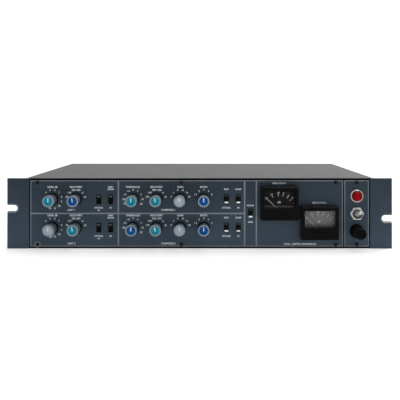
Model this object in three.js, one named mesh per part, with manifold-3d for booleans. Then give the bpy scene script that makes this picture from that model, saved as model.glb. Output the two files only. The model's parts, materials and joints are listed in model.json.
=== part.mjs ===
// A two-channel studio compressor and limiter, built as a two-unit card frame for a 19 inch rack.
// Millimetres, +Z up, +X to the right of someone facing the controls, controls facing -Y.
// Lengths along Y are first laid out from the face of the panels, which is y = 0, and the finished
// assembly is then moved so that the origin is under the middle of its bounding box.
import * as THREE from "three";
import { mergeVertices } from "three/addons/utils/BufferGeometryUtils.js";
import Module from "manifold-3d";

const wasm = await Module();
wasm.setup();

// ---------------------------------------------------------------- driving dimensions

const clearance = 0.3; // between pieces that seat on each other

const unit = { height: 88.1, depth: 254 }; // two rack units less the usual 0.8 mm
const sheet = 1.2; // top and bottom covers

// The four printed sections of the control panel, from left to right, then the power panel.
const limitSection = { width: 110.5, firstKnob: 27.8, firstSwitch: 85.9 };
const compressSection = { width: 158.3, firstKnob: 18.3, firstSwitch: 135.5 };
const linkSection = { width: 14.8 };
const meterSection = { leftMargin: 4.75, rightMargin: 7.35 };
const powerPanel = { width: 31.1, pitch: 22.1 };
const panel = { thickness: 3, edge: 2, moduleGap: 1.4, screwInset: 3.3, screwHole: 1.6, cornerScrew: 9.2 };

const ear = {
  width: 27.4,
  gap: 1.5,
  thickness: 4,
  legLength: 30,
  legThickness: 2.5,
  slotWidth: 7,
  slotLength: 12,
  slotRise: 6.35, // from mid height to the nearest hole of the rack
  slotChamfer: 2.4,
};
const sidePlate = { thickness: 2, standOff: 5.1 };
const rail = { noseFront: 1, depth: 12, height: 9, wall: 2 };
const coverLip = 8;
const rearPanel = { thickness: 2 };

const row = { pitch: 35.6 }; // between the two channels
const knob = {
  pitch: 29.6,
  frontRadius: 7.1,
  rearRadius: 6.3,
  front: 20.8,
  rear: 3.4,
  chamfer: 0.5,
  capRadius: 5.4,
  capDepth: 1.8,
  wingTip: 9.7,
  wingTipHalfWidth: 0.8,
  wingRootHalfWidth: 2.8,
  wingRoot: 5.6,
};
const rotary = {
  bodyRadius: 8.5,
  bodyFront: 5,
  bushRadius: 4.7,
  bushLength: 3,
  shaftRadius: 3,
  shaftBack: 14,
  boardGap: 22,
};
const rocker = {
  pitch: 14.9,
  width: 4.7,
  halfHeight: 3.4,
  endLength: 2.8,
  throw: 12, // degrees to either side of level
  endAngle: 48, // degrees, of the end faces' normals when level
  pivotDepth: 1,
  proud: 2.2,
  back: 3.2,
  backHalfHeight: 2.4,
  cutoutGap: 0.7,
};
const rockerHousing = { wall: 1, pocketDepth: 8.5 };
const controlBoard = { thickness: 1.6, margin: 6, rightMargin: 1.6 };

const meter = {
  width: 46.8,
  height: 41.5,
  front: 10,
  wall: 2,
  floor: 1.7,
  spacing: 3, // between the two cases, sideways
  step: 24.3, // between their heights
  rise: 1.2,
  barrelRadius: 17,
  barrelDepth: 22,
  windowThickness: 1.4,
  dialThickness: 0.8,
  pivotHeight: 12,
};
const needle = {
  length: 22,
  halfWidth: 0.35,
  thickness: 0.5,
  hubRadius: 2,
  hubLength: 2,
  rest: -47, // degrees clockwise from straight up
  aboveDial: 1.4,
};

const lamp = {
  bezelRadius: 8.1,
  bezelFront: 3,
  bezelTaper: 0.6,
  bore: 6.7,
  lensRadius: 6.4,
  lensFront: 7,
  bodyRadius: 7.3,
  bodyDepth: 24,
};
const toggle = {
  bushRadius: 5.9,
  bushFront: 7,
  bore: 3.8,
  pivotFront: 3,
  leverLength: 17,
  leverRoot: 1.5,
  leverTip: 2.5,
  rest: 12, // degrees above level
  nutAcrossFlats: 15,
  nutThickness: 2.6,
  bodyWidth: 17,
  bodyHeight: 20,
  bodyDepth: 24,
};
const fuse = {
  flangeRadius: 8.8,
  flangeFront: 2.6,
  neckRadius: 6.2,
  neckDepth: 36,
  bore: 4.2,
  boreDepth: 30,
  capRadius: 6.9,
  capFront: 23,
  plugRadius: 3.8,
  plugDepth: 4,
  cartridgeRadius: 2.6,
  cartridgeLength: 20,
  cartridgeSeat: 6,
};

const socket = {
  plateWidth: 26,
  plateHeight: 31,
  plateThickness: 2,
  shellRadius: 11.6,
  depth: 20,
  cupRadius: 8.4,
  cupDepth: 14,
  pinRadius: 1.2,
  pinCircle: 3.9,
  pinLength: 12,
  insertRadius: 7.3,
  grooveRadius: 9.4,
  edge: 32,
  pitch: 38,
  groupGap: 58,
};
const inlet = {
  plateWidth: 50,
  plateHeight: 30,
  plateThickness: 2.5,
  bodyWidth: 28,
  bodyHeight: 21,
  bodyDepth: 20,
  cavityWidth: 24.4,
  cavityHeight: 16.6,
  cavityDepth: 16,
  bladeThickness: 2,
  bladeWidth: 4.2,
  bladeLength: 12,
  bladePitch: 7,
  bladeDrop: 2,
  edge: 36,
};

const mainBoard = { thickness: 1.6, height: 14, sideMargin: 12, frontGap: 14, rearGap: 26 };
const audioTransformer = { size: 28, height: 33, pitchX: 62, pitchY: 74, edge: 40 };
const mainsTransformer = {
  width: 58,
  depth: 46,
  height: 46,
  coilWidth: 34,
  coilBulge: 9,
  rearGap: 34,
  edge: 12,
};

// ---------------------------------------------------------------- places worked out from them

const middle = unit.height / 2;
const meterWidth = meterSection.leftMargin + 2 * meter.width + meter.spacing + meterSection.rightMargin;
const controlWidth = limitSection.width + compressSection.width + linkSection.width + meterWidth;
const openingHalf = (controlWidth + panel.moduleGap + powerPanel.width) / 2;
const earInner = openingHalf + ear.gap;
const earOuter = earInner + ear.width;
const sideInner = openingHalf + sidePlate.standOff;
const sideOuter = sideInner + sidePlate.thickness;
const coverHalf = sideInner - clearance;

const limitLeft = -openingHalf;
const compressLeft = limitLeft + limitSection.width;
const linkLeft = compressLeft + compressSection.width;
const meterLeft = linkLeft + linkSection.width;
const controlRight = meterLeft + meterWidth;
const powerLeft = controlRight + panel.moduleGap;
const powerX = powerLeft + powerPanel.width / 2;

const panelBottom = panel.edge;
const panelTop = unit.height - panel.edge;
const panelBack = panel.thickness;
const railBack = panelBack + clearance + rail.depth;
const rearFace = unit.depth - sheet - clearance;
const rearInner = rearFace - rearPanel.thickness;
const upperRow = middle + row.pitch / 2;
const lowerRow = middle - row.pitch / 2;
const boardFront = rotary.bodyFront + rotary.boardGap;

// Rotary controls of one channel: place along the panel, where the pointer of each channel stands, in degrees
// clockwise from straight up, and the channels whose knob has a wing. The others are plain and round.
const limitKnobX = (i) => limitLeft + limitSection.firstKnob + i * knob.pitch;
const compressKnobX = (i) => compressLeft + compressSection.firstKnob + i * knob.pitch;
const rotaries = [
  { name: "limit_level", x: limitKnobX(0), upper: 0, lower: 160, winged: ["lower"] },
  { name: "limit_recovery", x: limitKnobX(1), upper: -8, lower: -8, winged: [] },
  { name: "threshold", x: compressKnobX(0), upper: -108, lower: 0, winged: ["upper"] },
  { name: "recovery", x: compressKnobX(1), upper: -8, lower: -10, winged: [] },
  { name: "gain", x: compressKnobX(2), upper: -5, lower: 0, winged: [] },
  { name: "ratio", x: compressKnobX(3), upper: 0, lower: 0, winged: [] },
];
const limitSwitchX = (i) => limitLeft + limitSection.firstSwitch + i * rocker.pitch;
const compressSwitchX = (i) => compressLeft + compressSection.firstSwitch + i * rocker.pitch;
const linkX = linkLeft + linkSection.width / 2;
// A rocker with its lower end out is switched in.
const channelRockers = [
  { name: "limit_attack", x: limitSwitchX(0), switchedIn: false },
  { name: "limit_in", x: limitSwitchX(1), switchedIn: false },
  { name: "compress_attack", x: compressSwitchX(0), switchedIn: true },
  { name: "compress_in", x: compressSwitchX(1), switchedIn: true },
];
const channels = [
  { label: "1", z: upperRow, pointer: "upper" },
  { label: "2", z: lowerRow, pointer: "lower" },
];
const rockers = [
  ...channels.flatMap((c) =>
    channelRockers.map((r) => ({ ...r, name: `${r.name}_rocker_${c.label}`, z: c.z })),
  ),
  { name: "stereo_link_rocker", x: linkX, z: middle, switchedIn: true },
];
const firstMeterX = meterLeft + meterSection.leftMargin + meter.width / 2;
const meters = [
  { label: "1", x: firstMeterX, z: middle + meter.rise + meter.step / 2 },
  { label: "2", x: firstMeterX + meter.width + meter.spacing, z: middle + meter.rise - meter.step / 2 },
];
const rockerReach = Math.sin(THREE.MathUtils.degToRad(90 - rocker.endAngle)) * rocker.endLength;
const rockerCutout = {
  halfWidth: rocker.width / 2 + rocker.cutoutGap,
  halfHeight: rocker.halfHeight + rockerReach + rocker.cutoutGap,
};

// ---------------------------------------------------------------- finishes

const finish = (color, roughness, metalness, more = {}) =>
  new THREE.MeshStandardMaterial({ color, roughness, metalness, ...more });
const finishes = {
  bluePaint: finish(0x38444f, 0.55, 0.1),
  greyPaint: finish(0x7f7f80, 0.6, 0.3),
  aluminium: finish(0xa8abad, 0.4, 0.9),
  chrome: finish(0xd8d8d8, 0.12, 1),
  zincPlate: finish(0x9a9c98, 0.4, 0.8),
  knobGrey: finish(0x9098a0, 0.5, 0),
  black: finish(0x141517, 0.35, 0),
  dial: finish(0x1b1b1b, 0.8, 0),
  clear: finish(0xffffff, 0.05, 0, { transparent: true, opacity: 0.3 }),
  needlePaint: finish(0xe8e8e4, 0.5, 0),
  redLens: finish(0x8a0408, 0.15, 0),
  glass: finish(0xdde4e4, 0.1, 0),
  circuitBoard: finish(0x2c5a3a, 0.5, 0),
  laminations: finish(0x5c5a58, 0.5, 0.7),
  screeningCan: finish(0xb4b6b2, 0.3, 0.9),
};

// ---------------------------------------------------------------- shape helpers

const rackUnit = new THREE.Group();

function piece(name, geometry, material, parent = rackUnit) {
  const mesh = new THREE.Mesh(geometry, material);
  mesh.name = name;
  parent.add(mesh);
  return mesh;
}

function box(x0, x1, y0, y1, z0, z1) {
  const g = new THREE.BoxGeometry(x1 - x0, y1 - y0, z1 - z0);
  return g.translate((x0 + x1) / 2, (y0 + y1) / 2, (z0 + z1) / 2);
}

// A closed outline of [a, b] points.
const outline = (points) => new THREE.Shape(points.map(([a, b]) => new THREE.Vector2(a, b)));

const corners = (x0, x1, z0, z1) => [[x0, z0], [x1, z0], [x1, z1], [x0, z1]];

function circle(x, z, radius, sides = 12) {
  return Array.from({ length: sides }, (_, i) => {
    const a = (i / sides) * 2 * Math.PI;
    return [x + radius * Math.cos(a), z + radius * Math.sin(a)];
  });
}

// A flat piece drawn in X and Z, from y0 back to y1, with holes.
function facePlate(points, y0, y1, holes = []) {
  const g = new THREE.ExtrudeGeometry(outline(points), { depth: y1 - y0, bevelEnabled: false });
  g.rotateX(Math.PI / 2).translate(0, y1, 0);
  return holes.length ? cut(g, ...holes.map((h) => facePlate(h, y0 - 1, y1 + 1))) : g;
}

// A section drawn in Y and Z, run along X.
function section(points, x0, x1) {
  const g = new THREE.ExtrudeGeometry(outline(points), { depth: x1 - x0, bevelEnabled: false });
  return g.rotateY(Math.PI / 2).rotateX(Math.PI / 2).translate(x0, 0, 0);
}

// A turned piece about an axis along Y: [radius, y] points, y growing along the outside.
function turned(points, x = 0, z = 0, sides = 16) {
  const profile = points.map(([r, y]) => new THREE.Vector2(r, y));
  return new THREE.LatheGeometry(profile, sides).translate(x, 0, z);
}

function solid(geometry) {
  const bare = geometry.index ? geometry.toNonIndexed() : geometry.clone();
  bare.deleteAttribute("normal");
  bare.deleteAttribute("uv");
  const merged = mergeVertices(bare, 1e-4);
  const index = merged.index.array;
  const triVerts = [];
  for (let i = 0; i < index.length; i += 3) {
    const [a, b, c] = [index[i], index[i + 1], index[i + 2]];
    if (a !== b && b !== c && a !== c) triVerts.push(a, b, c);
  }
  return new wasm.Manifold(
    new wasm.Mesh({
      numProp: 3,
      vertProperties: merged.attributes.position.array,
      triVerts: new Uint32Array(triVerts),
    }),
  );
}

function geometryOf(made) {
  const mesh = made.getMesh();
  const g = new THREE.BufferGeometry();
  g.setAttribute("position", new THREE.BufferAttribute(new Float32Array(mesh.vertProperties), 3));
  g.setIndex(new THREE.BufferAttribute(new Uint32Array(mesh.triVerts), 1));
  g.computeVertexNormals();
  return g;
}

const join = (first, ...others) => geometryOf(others.reduce((s, g) => s.add(solid(g)), solid(first)));
const cut = (first, ...others) => geometryOf(others.reduce((s, g) => s.subtract(solid(g)), solid(first)));

// ---------------------------------------------------------------- frame of the rack unit

// The left ear, with an open slot for the rack screw above mid height, and a leg along the side plate.
function makeEar() {
  const slotZ = middle + ear.slotRise;
  const slotEnd = -earOuter + ear.slotLength - ear.slotWidth / 2;
  const slot = (half, reach) => {
    const arc = Array.from({ length: 9 }, (_, i) => {
      const a = -Math.PI / 2 + (i / 8) * Math.PI;
      return [slotEnd + half * Math.cos(a), slotZ + half * Math.sin(a)];
    });
    return [[-earOuter - reach, slotZ - half], ...arc, [-earOuter - reach, slotZ + half]];
  };
  const flange = facePlate(corners(-earOuter, -earInner, 0, unit.height), 0, ear.thickness);
  const leg = box(
    -sideOuter - clearance - ear.legThickness,
    -sideOuter - clearance,
    ear.thickness - clearance,
    ear.legLength,
    panelBottom,
    panelTop,
  );
  const through = facePlate(slot(ear.slotWidth / 2, 1), -1, ear.thickness + 1);
  const rebate = facePlate(slot(ear.slotWidth / 2 + ear.slotChamfer, 1), -1, ear.slotChamfer / 4);
  return cut(join(flange, leg), through, rebate);
}

function addEars() {
  piece("rack_ear_left", makeEar(), finishes.bluePaint);
  const right = new THREE.Group(); // the same piece turned upside down, so its slot is below mid height
  right.rotation.y = Math.PI;
  right.position.z = unit.height;
  piece("rack_ear_right", makeEar(), finishes.bluePaint, right);
  rackUnit.add(right);
}

function addSidePlates() {
  for (const [side, word] of [[-1, "left"], [1, "right"]]) {
    const [x0, x1] = side < 0 ? [-sideOuter, -sideInner] : [sideInner, sideOuter];
    const plate = box(x0, x1, ear.thickness + clearance, unit.depth, 0, unit.height);
    piece(`side_plate_${word}`, plate, finishes.zincPlate);
  }
}

// The extruded rails that hold the panels: a channel behind the panels, and a nose above their edge.
function addRails() {
  const noseBottom = unit.height - panel.edge + clearance;
  const bodyFront = panelBack + clearance;
  const channelFront = ear.thickness + clearance;
  const channel = [
    [channelFront, unit.height],
    [channelFront, unit.height - rail.height],
    [channelFront + rail.wall, unit.height - rail.height],
    [channelFront + rail.wall, unit.height - rail.wall],
    [railBack - rail.wall, unit.height - rail.wall],
    [railBack - rail.wall, unit.height - rail.height],
    [railBack, unit.height - rail.height],
    [railBack, unit.height],
  ];
  const nose = [
    [rail.noseFront, unit.height],
    [rail.noseFront, noseBottom],
    [bodyFront, noseBottom],
    [bodyFront, unit.height - rail.height],
    [channelFront + rail.wall / 2, unit.height - rail.height],
    [channelFront + rail.wall / 2, unit.height],
  ];
  const noseHalf = earInner - clearance;
  const top = () => join(section(channel, -coverHalf, coverHalf), section(nose, -noseHalf, noseHalf));
  piece("front_rail_top", top(), finishes.aluminium);
  const turnedOver = new THREE.Group();
  turnedOver.scale.z = -1;
  turnedOver.position.z = unit.height;
  piece("front_rail_bottom", top(), finishes.aluminium, turnedOver);
  rackUnit.add(turnedOver);
}

// Each cover is one sheet with a lip turned over the edge of the rear panel.
function addCovers() {
  const profile = [
    [railBack + clearance, unit.height],
    [railBack + clearance, unit.height - sheet],
    [unit.depth - sheet, unit.height - sheet],
    [unit.depth - sheet, unit.height - coverLip],
    [unit.depth, unit.height - coverLip],
    [unit.depth, unit.height],
  ];
  piece("top_cover", section(profile, -coverHalf, coverHalf), finishes.greyPaint);
  const turnedOver = new THREE.Group();
  turnedOver.scale.z = -1;
  turnedOver.position.z = unit.height;
  piece("bottom_cover", section(profile, -coverHalf, coverHalf), finishes.zincPlate, turnedOver);
  rackUnit.add(turnedOver);
}

// ---------------------------------------------------------------- panels

function addPanels() {
  const screwRows = [panelBottom + panel.screwInset, panelTop - panel.screwInset];
  const screwX = [
    limitLeft + panel.cornerScrew,
    compressLeft + compressSection.width / 2,
    controlRight - panel.cornerScrew,
  ];
  const screwHoles = (xs) => xs.flatMap((x) => screwRows.map((z) => circle(x, z, panel.screwHole, 8)));
  const bushHoles = channels.flatMap((c) =>
    rotaries.map((r) => circle(r.x, c.z, rotary.bushRadius + clearance, 12)),
  );
  const { halfWidth, halfHeight } = rockerCutout;
  const rockerHoles = rockers.map((r) =>
    corners(r.x - halfWidth, r.x + halfWidth, r.z - halfHeight, r.z + halfHeight),
  );
  const meterHoles = meters.map((m) => circle(m.x, m.z, meter.barrelRadius + clearance, 24));
  piece(
    "control_panel",
    facePlate(corners(limitLeft, controlRight, panelBottom, panelTop), 0, panel.thickness, [
      ...screwHoles(screwX),
      ...bushHoles,
      ...rockerHoles,
      ...meterHoles,
    ]),
    finishes.bluePaint,
  );
  piece(
    "power_panel",
    facePlate(corners(powerLeft, openingHalf, panelBottom, panelTop), 0, panel.thickness, [
      ...screwHoles([powerX]),
      circle(powerX, middle + powerPanel.pitch, lamp.bodyRadius + clearance, 16),
      circle(powerX, middle, toggle.bushRadius + clearance, 16),
      circle(powerX, middle - powerPanel.pitch, fuse.neckRadius + clearance, 16),
    ]),
    finishes.bluePaint,
  );
}

// Two inputs, then two outputs.
const socketX = (i) =>
  -openingHalf + socket.edge + (i % 2) * socket.pitch + (i > 1 ? socket.pitch + socket.groupGap : 0);
const inletX = openingHalf - inlet.edge;

function addRearPanel() {
  const inletHalf = [inlet.bodyWidth / 2 + clearance, inlet.bodyHeight / 2 + clearance];
  const holes = [0, 1, 2, 3].map((i) => circle(socketX(i), middle, socket.shellRadius + clearance, 16));
  holes.push(
    corners(inletX - inletHalf[0], inletX + inletHalf[0], middle - inletHalf[1], middle + inletHalf[1]),
  );
  const under = sheet + clearance;
  piece(
    "rear_panel",
    facePlate(corners(-coverHalf, coverHalf, under, unit.height - under), rearInner, rearFace, holes),
    finishes.greyPaint,
  );
}

// ---------------------------------------------------------------- rotary controls and rockers

// A collet knob on its shaft, with a recess for its coloured cap and perhaps a wing that points straight up.
function makeKnob(winged) {
  const body = turned([
    [0, -knob.front + knob.capDepth],
    [knob.capRadius, -knob.front + knob.capDepth],
    [knob.capRadius, -knob.front],
    [knob.frontRadius - knob.chamfer, -knob.front],
    [knob.frontRadius, -knob.front + knob.chamfer],
    [knob.rearRadius, -knob.rear],
    [rotary.shaftRadius, -knob.rear],
    [rotary.shaftRadius, rotary.shaftBack],
    [0, rotary.shaftBack],
  ]);
  if (!winged) return body;
  const wing = facePlate(
    [
      [-knob.wingRootHalfWidth, knob.wingRoot],
      [knob.wingRootHalfWidth, knob.wingRoot],
      [knob.wingTipHalfWidth, knob.wingTip],
      [-knob.wingTipHalfWidth, knob.wingTip],
    ],
    -knob.front + knob.chamfer,
    -knob.rear,
  );
  const recess = turned([
    [0, -knob.front - 1],
    [knob.capRadius, -knob.front - 1],
    [knob.capRadius, -knob.front + knob.capDepth],
    [0, -knob.front + knob.capDepth],
  ]);
  return geometryOf(solid(body).add(solid(wing).subtract(solid(recess))));
}

function addKnobs() {
  for (const c of channels)
    for (const r of rotaries) {
      const shape = makeKnob(r.winged.includes(c.pointer));
      const mesh = piece(`${r.name}_knob_${c.label}`, shape, finishes.knobGrey);
      mesh.position.set(r.x, 0, c.z);
      mesh.rotation.y = THREE.MathUtils.degToRad(r[c.pointer]);
    }
}

// A rocker when level: two faces that lean out to their ends, and end faces that turn back from them.
function makeRocker() {
  const lean = Math.tan(THREE.MathUtils.degToRad(rocker.throw));
  const end = THREE.MathUtils.degToRad(rocker.endAngle);
  const edgeY = -rocker.proud - rocker.halfHeight * lean;
  const heelY = edgeY + Math.sin(end) * rocker.endLength;
  const heelZ = rocker.halfHeight + Math.cos(end) * rocker.endLength;
  const upper = [
    [edgeY, rocker.halfHeight],
    [heelY, heelZ],
    [rocker.back, rocker.backHalfHeight],
  ];
  const lower = upper.map(([y, z]) => [y, -z]).reverse();
  return section([[-rocker.proud, 0], ...upper, ...lower].reverse(), -rocker.width / 2, rocker.width / 2);
}

function addRockers() {
  for (const r of rockers) {
    const mesh = piece(r.name, makeRocker(), finishes.black);
    mesh.position.set(r.x, rocker.pivotDepth, r.z);
    mesh.rotation.x = THREE.MathUtils.degToRad(r.switchedIn ? -rocker.throw : rocker.throw);
  }
}

// The circuit board behind the controls, with the bodies of its rotary switches and rockers.
function addControlBoard() {
  const board = box(
    limitLeft + controlBoard.margin,
    meterLeft - controlBoard.rightMargin,
    boardFront,
    boardFront + controlBoard.thickness,
    panelBottom + controlBoard.margin,
    panelTop - controlBoard.margin,
  );
  const boardBack = boardFront + controlBoard.thickness / 2;
  const bore = rotary.shaftRadius + clearance + 0.1;
  const bodies = channels.flatMap((c) =>
    rotaries.map((r) =>
      turned(
        [
          [0, rotary.shaftBack + clearance],
          [bore, rotary.shaftBack + clearance],
          [bore, -rotary.bushLength],
          [rotary.bushRadius, -rotary.bushLength],
          [rotary.bushRadius, rotary.bodyFront],
          [rotary.bodyRadius, rotary.bodyFront],
          [rotary.bodyRadius, boardBack],
          [0, boardBack],
        ],
        r.x,
        c.z,
      ),
    ),
  );
  const housingFront = panelBack + clearance;
  const { halfWidth, halfHeight } = rockerCutout;
  const housings = rockers.flatMap((r) => {
    const block = (grow, y0, y1) =>
      facePlate(
        corners(
          r.x - halfWidth - grow,
          r.x + halfWidth + grow,
          r.z - halfHeight - grow,
          r.z + halfHeight + grow,
        ),
        y0,
        y1,
      );
    return [
      block(rockerHousing.wall, housingFront, boardBack),
      block(0, housingFront - 1, housingFront + rockerHousing.pocketDepth),
    ];
  });
  let made = bodies.reduce((s, g) => s.add(solid(g)), solid(board));
  for (let i = 0; i < housings.length; i += 2) {
    made = made.add(solid(housings[i])).subtract(solid(housings[i + 1]));
  }
  piece("control_board", geometryOf(made), finishes.circuitBoard);
}

// ---------------------------------------------------------------- meters

function addMeters() {
  const halfWidth = meter.width / 2;
  const halfHeight = meter.height / 2;
  const inner = (grow) => corners(
    -halfWidth + meter.wall + grow,
    halfWidth - meter.wall - grow,
    -halfHeight + meter.wall + grow,
    halfHeight - meter.wall - grow,
  );
  const floorY = -meter.floor;
  for (const m of meters) {
    const at = (mesh) => mesh.position.set(m.x, 0, m.z);
    const head = facePlate(corners(-halfWidth, halfWidth, -halfHeight, halfHeight), -meter.front, -clearance);
    const barrel = turned(
      [
        [0, -1],
        [meter.barrelRadius, -1],
        [meter.barrelRadius, meter.barrelDepth],
        [0, meter.barrelDepth],
      ],
      0,
      0,
      24,
    );
    const well = facePlate(inner(0), -meter.front - 1, floorY);
    at(piece(`meter_case_${m.label}`, cut(join(head, barrel), well), finishes.black));

    const dialBack = floorY - clearance;
    const dial = facePlate(inner(clearance), dialBack - meter.dialThickness, dialBack);
    at(piece(`meter_dial_${m.label}`, dial, finishes.dial));

    const windowFront = -meter.front + clearance;
    const pane = facePlate(inner(clearance), windowFront, windowFront + meter.windowThickness);
    at(piece(`meter_window_${m.label}`, pane, finishes.clear));

    const pointerBack = dialBack - meter.dialThickness - needle.aboveDial;
    const hub = turned([
      [0, pointerBack - needle.hubLength],
      [needle.hubRadius, pointerBack - needle.hubLength],
      [needle.hubRadius, pointerBack + needle.thickness],
      [0, pointerBack + needle.thickness],
    ], 0, 0, 12);
    const blade = box(
      -needle.halfWidth,
      needle.halfWidth,
      pointerBack - needle.thickness,
      pointerBack,
      needle.hubRadius / 2,
      needle.length,
    );
    const pointer = piece(`meter_needle_${m.label}`, join(hub, blade), finishes.needlePaint);
    pointer.position.set(m.x, 0, m.z - halfHeight + meter.pivotHeight);
    pointer.rotation.y = THREE.MathUtils.degToRad(needle.rest);
  }
}

// ---------------------------------------------------------------- lamp, power switch and fuse

function addLamp() {
  const z = middle + powerPanel.pitch;
  const bezel = turned(
    [
      [lamp.bore, lamp.bodyDepth],
      [lamp.bore, -lamp.bezelFront],
      [lamp.bezelRadius - lamp.bezelTaper, -lamp.bezelFront],
      [lamp.bezelRadius, -clearance],
      [lamp.bodyRadius, -clearance],
      [lamp.bodyRadius, lamp.bodyDepth],
      [lamp.bore, lamp.bodyDepth],
    ],
    powerX,
    z,
    20,
  );
  piece("lamp_bezel", bezel, finishes.chrome);
  const dome = Array.from({ length: 5 }, (_, i) => {
    const a = (i / 4) * (Math.PI / 2);
    return [
      lamp.lensRadius * Math.sin(a),
      -lamp.lensFront + (lamp.lensFront - lamp.bezelFront) * (1 - Math.cos(a)),
    ];
  });
  const lensBack = lamp.bodyDepth / 3;
  const lens = turned([...dome, [lamp.lensRadius, lensBack], [0, lensBack]], powerX, z, 20);
  piece("lamp_lens", lens, finishes.redLens);
}

function addPowerSwitch() {
  const bush = turned(
    [
      [0, 0.5],
      [toggle.bore, 0.5],
      [toggle.bore, -toggle.bushFront],
      [toggle.bushRadius, -toggle.bushFront],
      [toggle.bushRadius, panelBack + 1],
      [0, panelBack + 1],
    ],
    powerX,
    middle,
  );
  const bodyFront = panelBack + clearance;
  const body = box(
    powerX - toggle.bodyWidth / 2,
    powerX + toggle.bodyWidth / 2,
    bodyFront,
    bodyFront + toggle.bodyDepth,
    middle - toggle.bodyHeight / 2,
    middle + toggle.bodyHeight / 2,
  );
  piece("power_switch_body", join(bush, body), finishes.screeningCan);

  const acrossCorners = toggle.nutAcrossFlats / Math.cos(Math.PI / 6) / 2;
  const nut = facePlate(
    circle(0, 0, acrossCorners, 6),
    -clearance - toggle.nutThickness,
    -clearance,
    [circle(0, 0, toggle.bushRadius + clearance, 16)],
  );
  piece("power_switch_nut", nut, finishes.chrome).position.set(powerX, 0, middle);

  const lever = turned([
    [0, -toggle.leverLength],
    [toggle.leverTip * 0.7, -toggle.leverLength + 0.5],
    [toggle.leverTip, -toggle.leverLength + 2],
    [toggle.leverRoot, -1],
    [toggle.leverRoot, 1.5],
    [0, 1.5],
  ], 0, 0, 12);
  const mesh = piece("power_switch_lever", lever, finishes.chrome);
  mesh.position.set(powerX, -toggle.pivotFront, middle);
  mesh.rotation.x = THREE.MathUtils.degToRad(-toggle.rest);
}

function addFuse() {
  const z = middle - powerPanel.pitch;
  const holder = turned(
    [
      [0, fuse.boreDepth],
      [fuse.bore, fuse.boreDepth],
      [fuse.bore, -fuse.flangeFront],
      [fuse.flangeRadius, -fuse.flangeFront],
      [fuse.flangeRadius, -clearance],
      [fuse.neckRadius, -clearance],
      [fuse.neckRadius, fuse.neckDepth],
      [0, fuse.neckDepth],
    ],
    powerX,
    z,
  );
  piece("fuse_holder", holder, finishes.black);
  const pocket = -fuse.flangeFront - fuse.cartridgeSeat;
  const cap = turned(
    [
      [0, -fuse.capFront],
      [fuse.capRadius - 1, -fuse.capFront],
      [fuse.capRadius, -fuse.capFront + 1],
      [fuse.capRadius, -fuse.flangeFront - clearance],
      [fuse.plugRadius, -fuse.flangeFront - clearance],
      [fuse.plugRadius, fuse.plugDepth],
      [fuse.cartridgeRadius + clearance, fuse.plugDepth],
      [fuse.cartridgeRadius + clearance, pocket],
      [0, pocket],
    ],
    powerX,
    z,
  );
  piece("fuse_cap", cap, finishes.black);
  const front = pocket + clearance;
  const cartridge = turned(
    [
      [0, front],
      [fuse.cartridgeRadius, front],
      [fuse.cartridgeRadius, front + fuse.cartridgeLength],
      [0, front + fuse.cartridgeLength],
    ],
    powerX,
    z,
    12,
  );
  piece("fuse_cartridge", cartridge, finishes.glass);
}

// ---------------------------------------------------------------- rear connectors

const pinPlaces = [90, 210, 330].map((deg) => {
  const a = THREE.MathUtils.degToRad(deg - 180);
  return [socket.pinCircle * Math.cos(a), socket.pinCircle * Math.sin(a)];
});

// A three-pin audio connector seen from behind the unit: a plug for an output, a socket for an input.
function makeConnector(hasPins) {
  const back = rearFace + clearance + socket.plateThickness;
  const halfPlate = [socket.plateWidth / 2, socket.plateHeight / 2];
  const plate = facePlate(
    corners(-halfPlate[0], halfPlate[0], -halfPlate[1], halfPlate[1]),
    rearFace + clearance,
    back,
  );
  const drum = (radius, y0, y1, x = 0, z = 0, sides = 16) =>
    solid(turned([[0, y0], [radius, y0], [radius, y1], [0, y1]], x, z, sides));
  const shell = solid(plate).add(drum(socket.shellRadius, back - socket.depth, rearFace + clearance + 1));
  const floor = back - socket.cupDepth;
  if (hasPins) {
    const cup = shell.subtract(drum(socket.cupRadius, floor, back + 1));
    return geometryOf(
      pinPlaces.reduce(
        (s, [x, z]) => s.add(drum(socket.pinRadius, floor - 1, floor + socket.pinLength, x, z, 6)),
        cup,
      ),
    );
  }
  const insert = drum(socket.insertRadius, floor - 1, back + 2);
  const groove = drum(socket.grooveRadius, floor, back + 1).subtract(insert);
  return geometryOf(
    pinPlaces.reduce(
      (s, [x, z]) => s.subtract(drum(socket.pinRadius + 0.2, floor, back + 1, x, z, 6)),
      shell.subtract(groove),
    ),
  );
}

function addRearConnectors() {
  const names = ["input_socket_1", "input_socket_2", "output_plug_1", "output_plug_2"];
  names.forEach((name, i) => {
    piece(name, makeConnector(i > 1), finishes.black).position.set(socketX(i), 0, middle);
  });
  const front = rearFace + clearance;
  const back = front + inlet.plateThickness;
  const block = (w, h, y0, y1, x = 0, z = 0) => box(x - w / 2, x + w / 2, y0, y1, z - h / 2, z + h / 2);
  const blades = [-1, 0, 1].map((i) =>
    block(
      inlet.bladeThickness,
      inlet.bladeWidth,
      back - inlet.cavityDepth - 1,
      back - inlet.cavityDepth + inlet.bladeLength,
      i * inlet.bladePitch,
      i ? -inlet.bladeDrop : inlet.bladeDrop,
    ),
  );
  const body = cut(
    join(
      block(inlet.plateWidth, inlet.plateHeight, front, back),
      block(inlet.bodyWidth, inlet.bodyHeight, back - inlet.bodyDepth, front + 1),
    ),
    block(inlet.cavityWidth, inlet.cavityHeight, back - inlet.cavityDepth, back + 1),
  );
  piece("mains_inlet", join(body, ...blades), finishes.black).position.set(inletX, 0, middle);
}

// ---------------------------------------------------------------- inside

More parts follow.
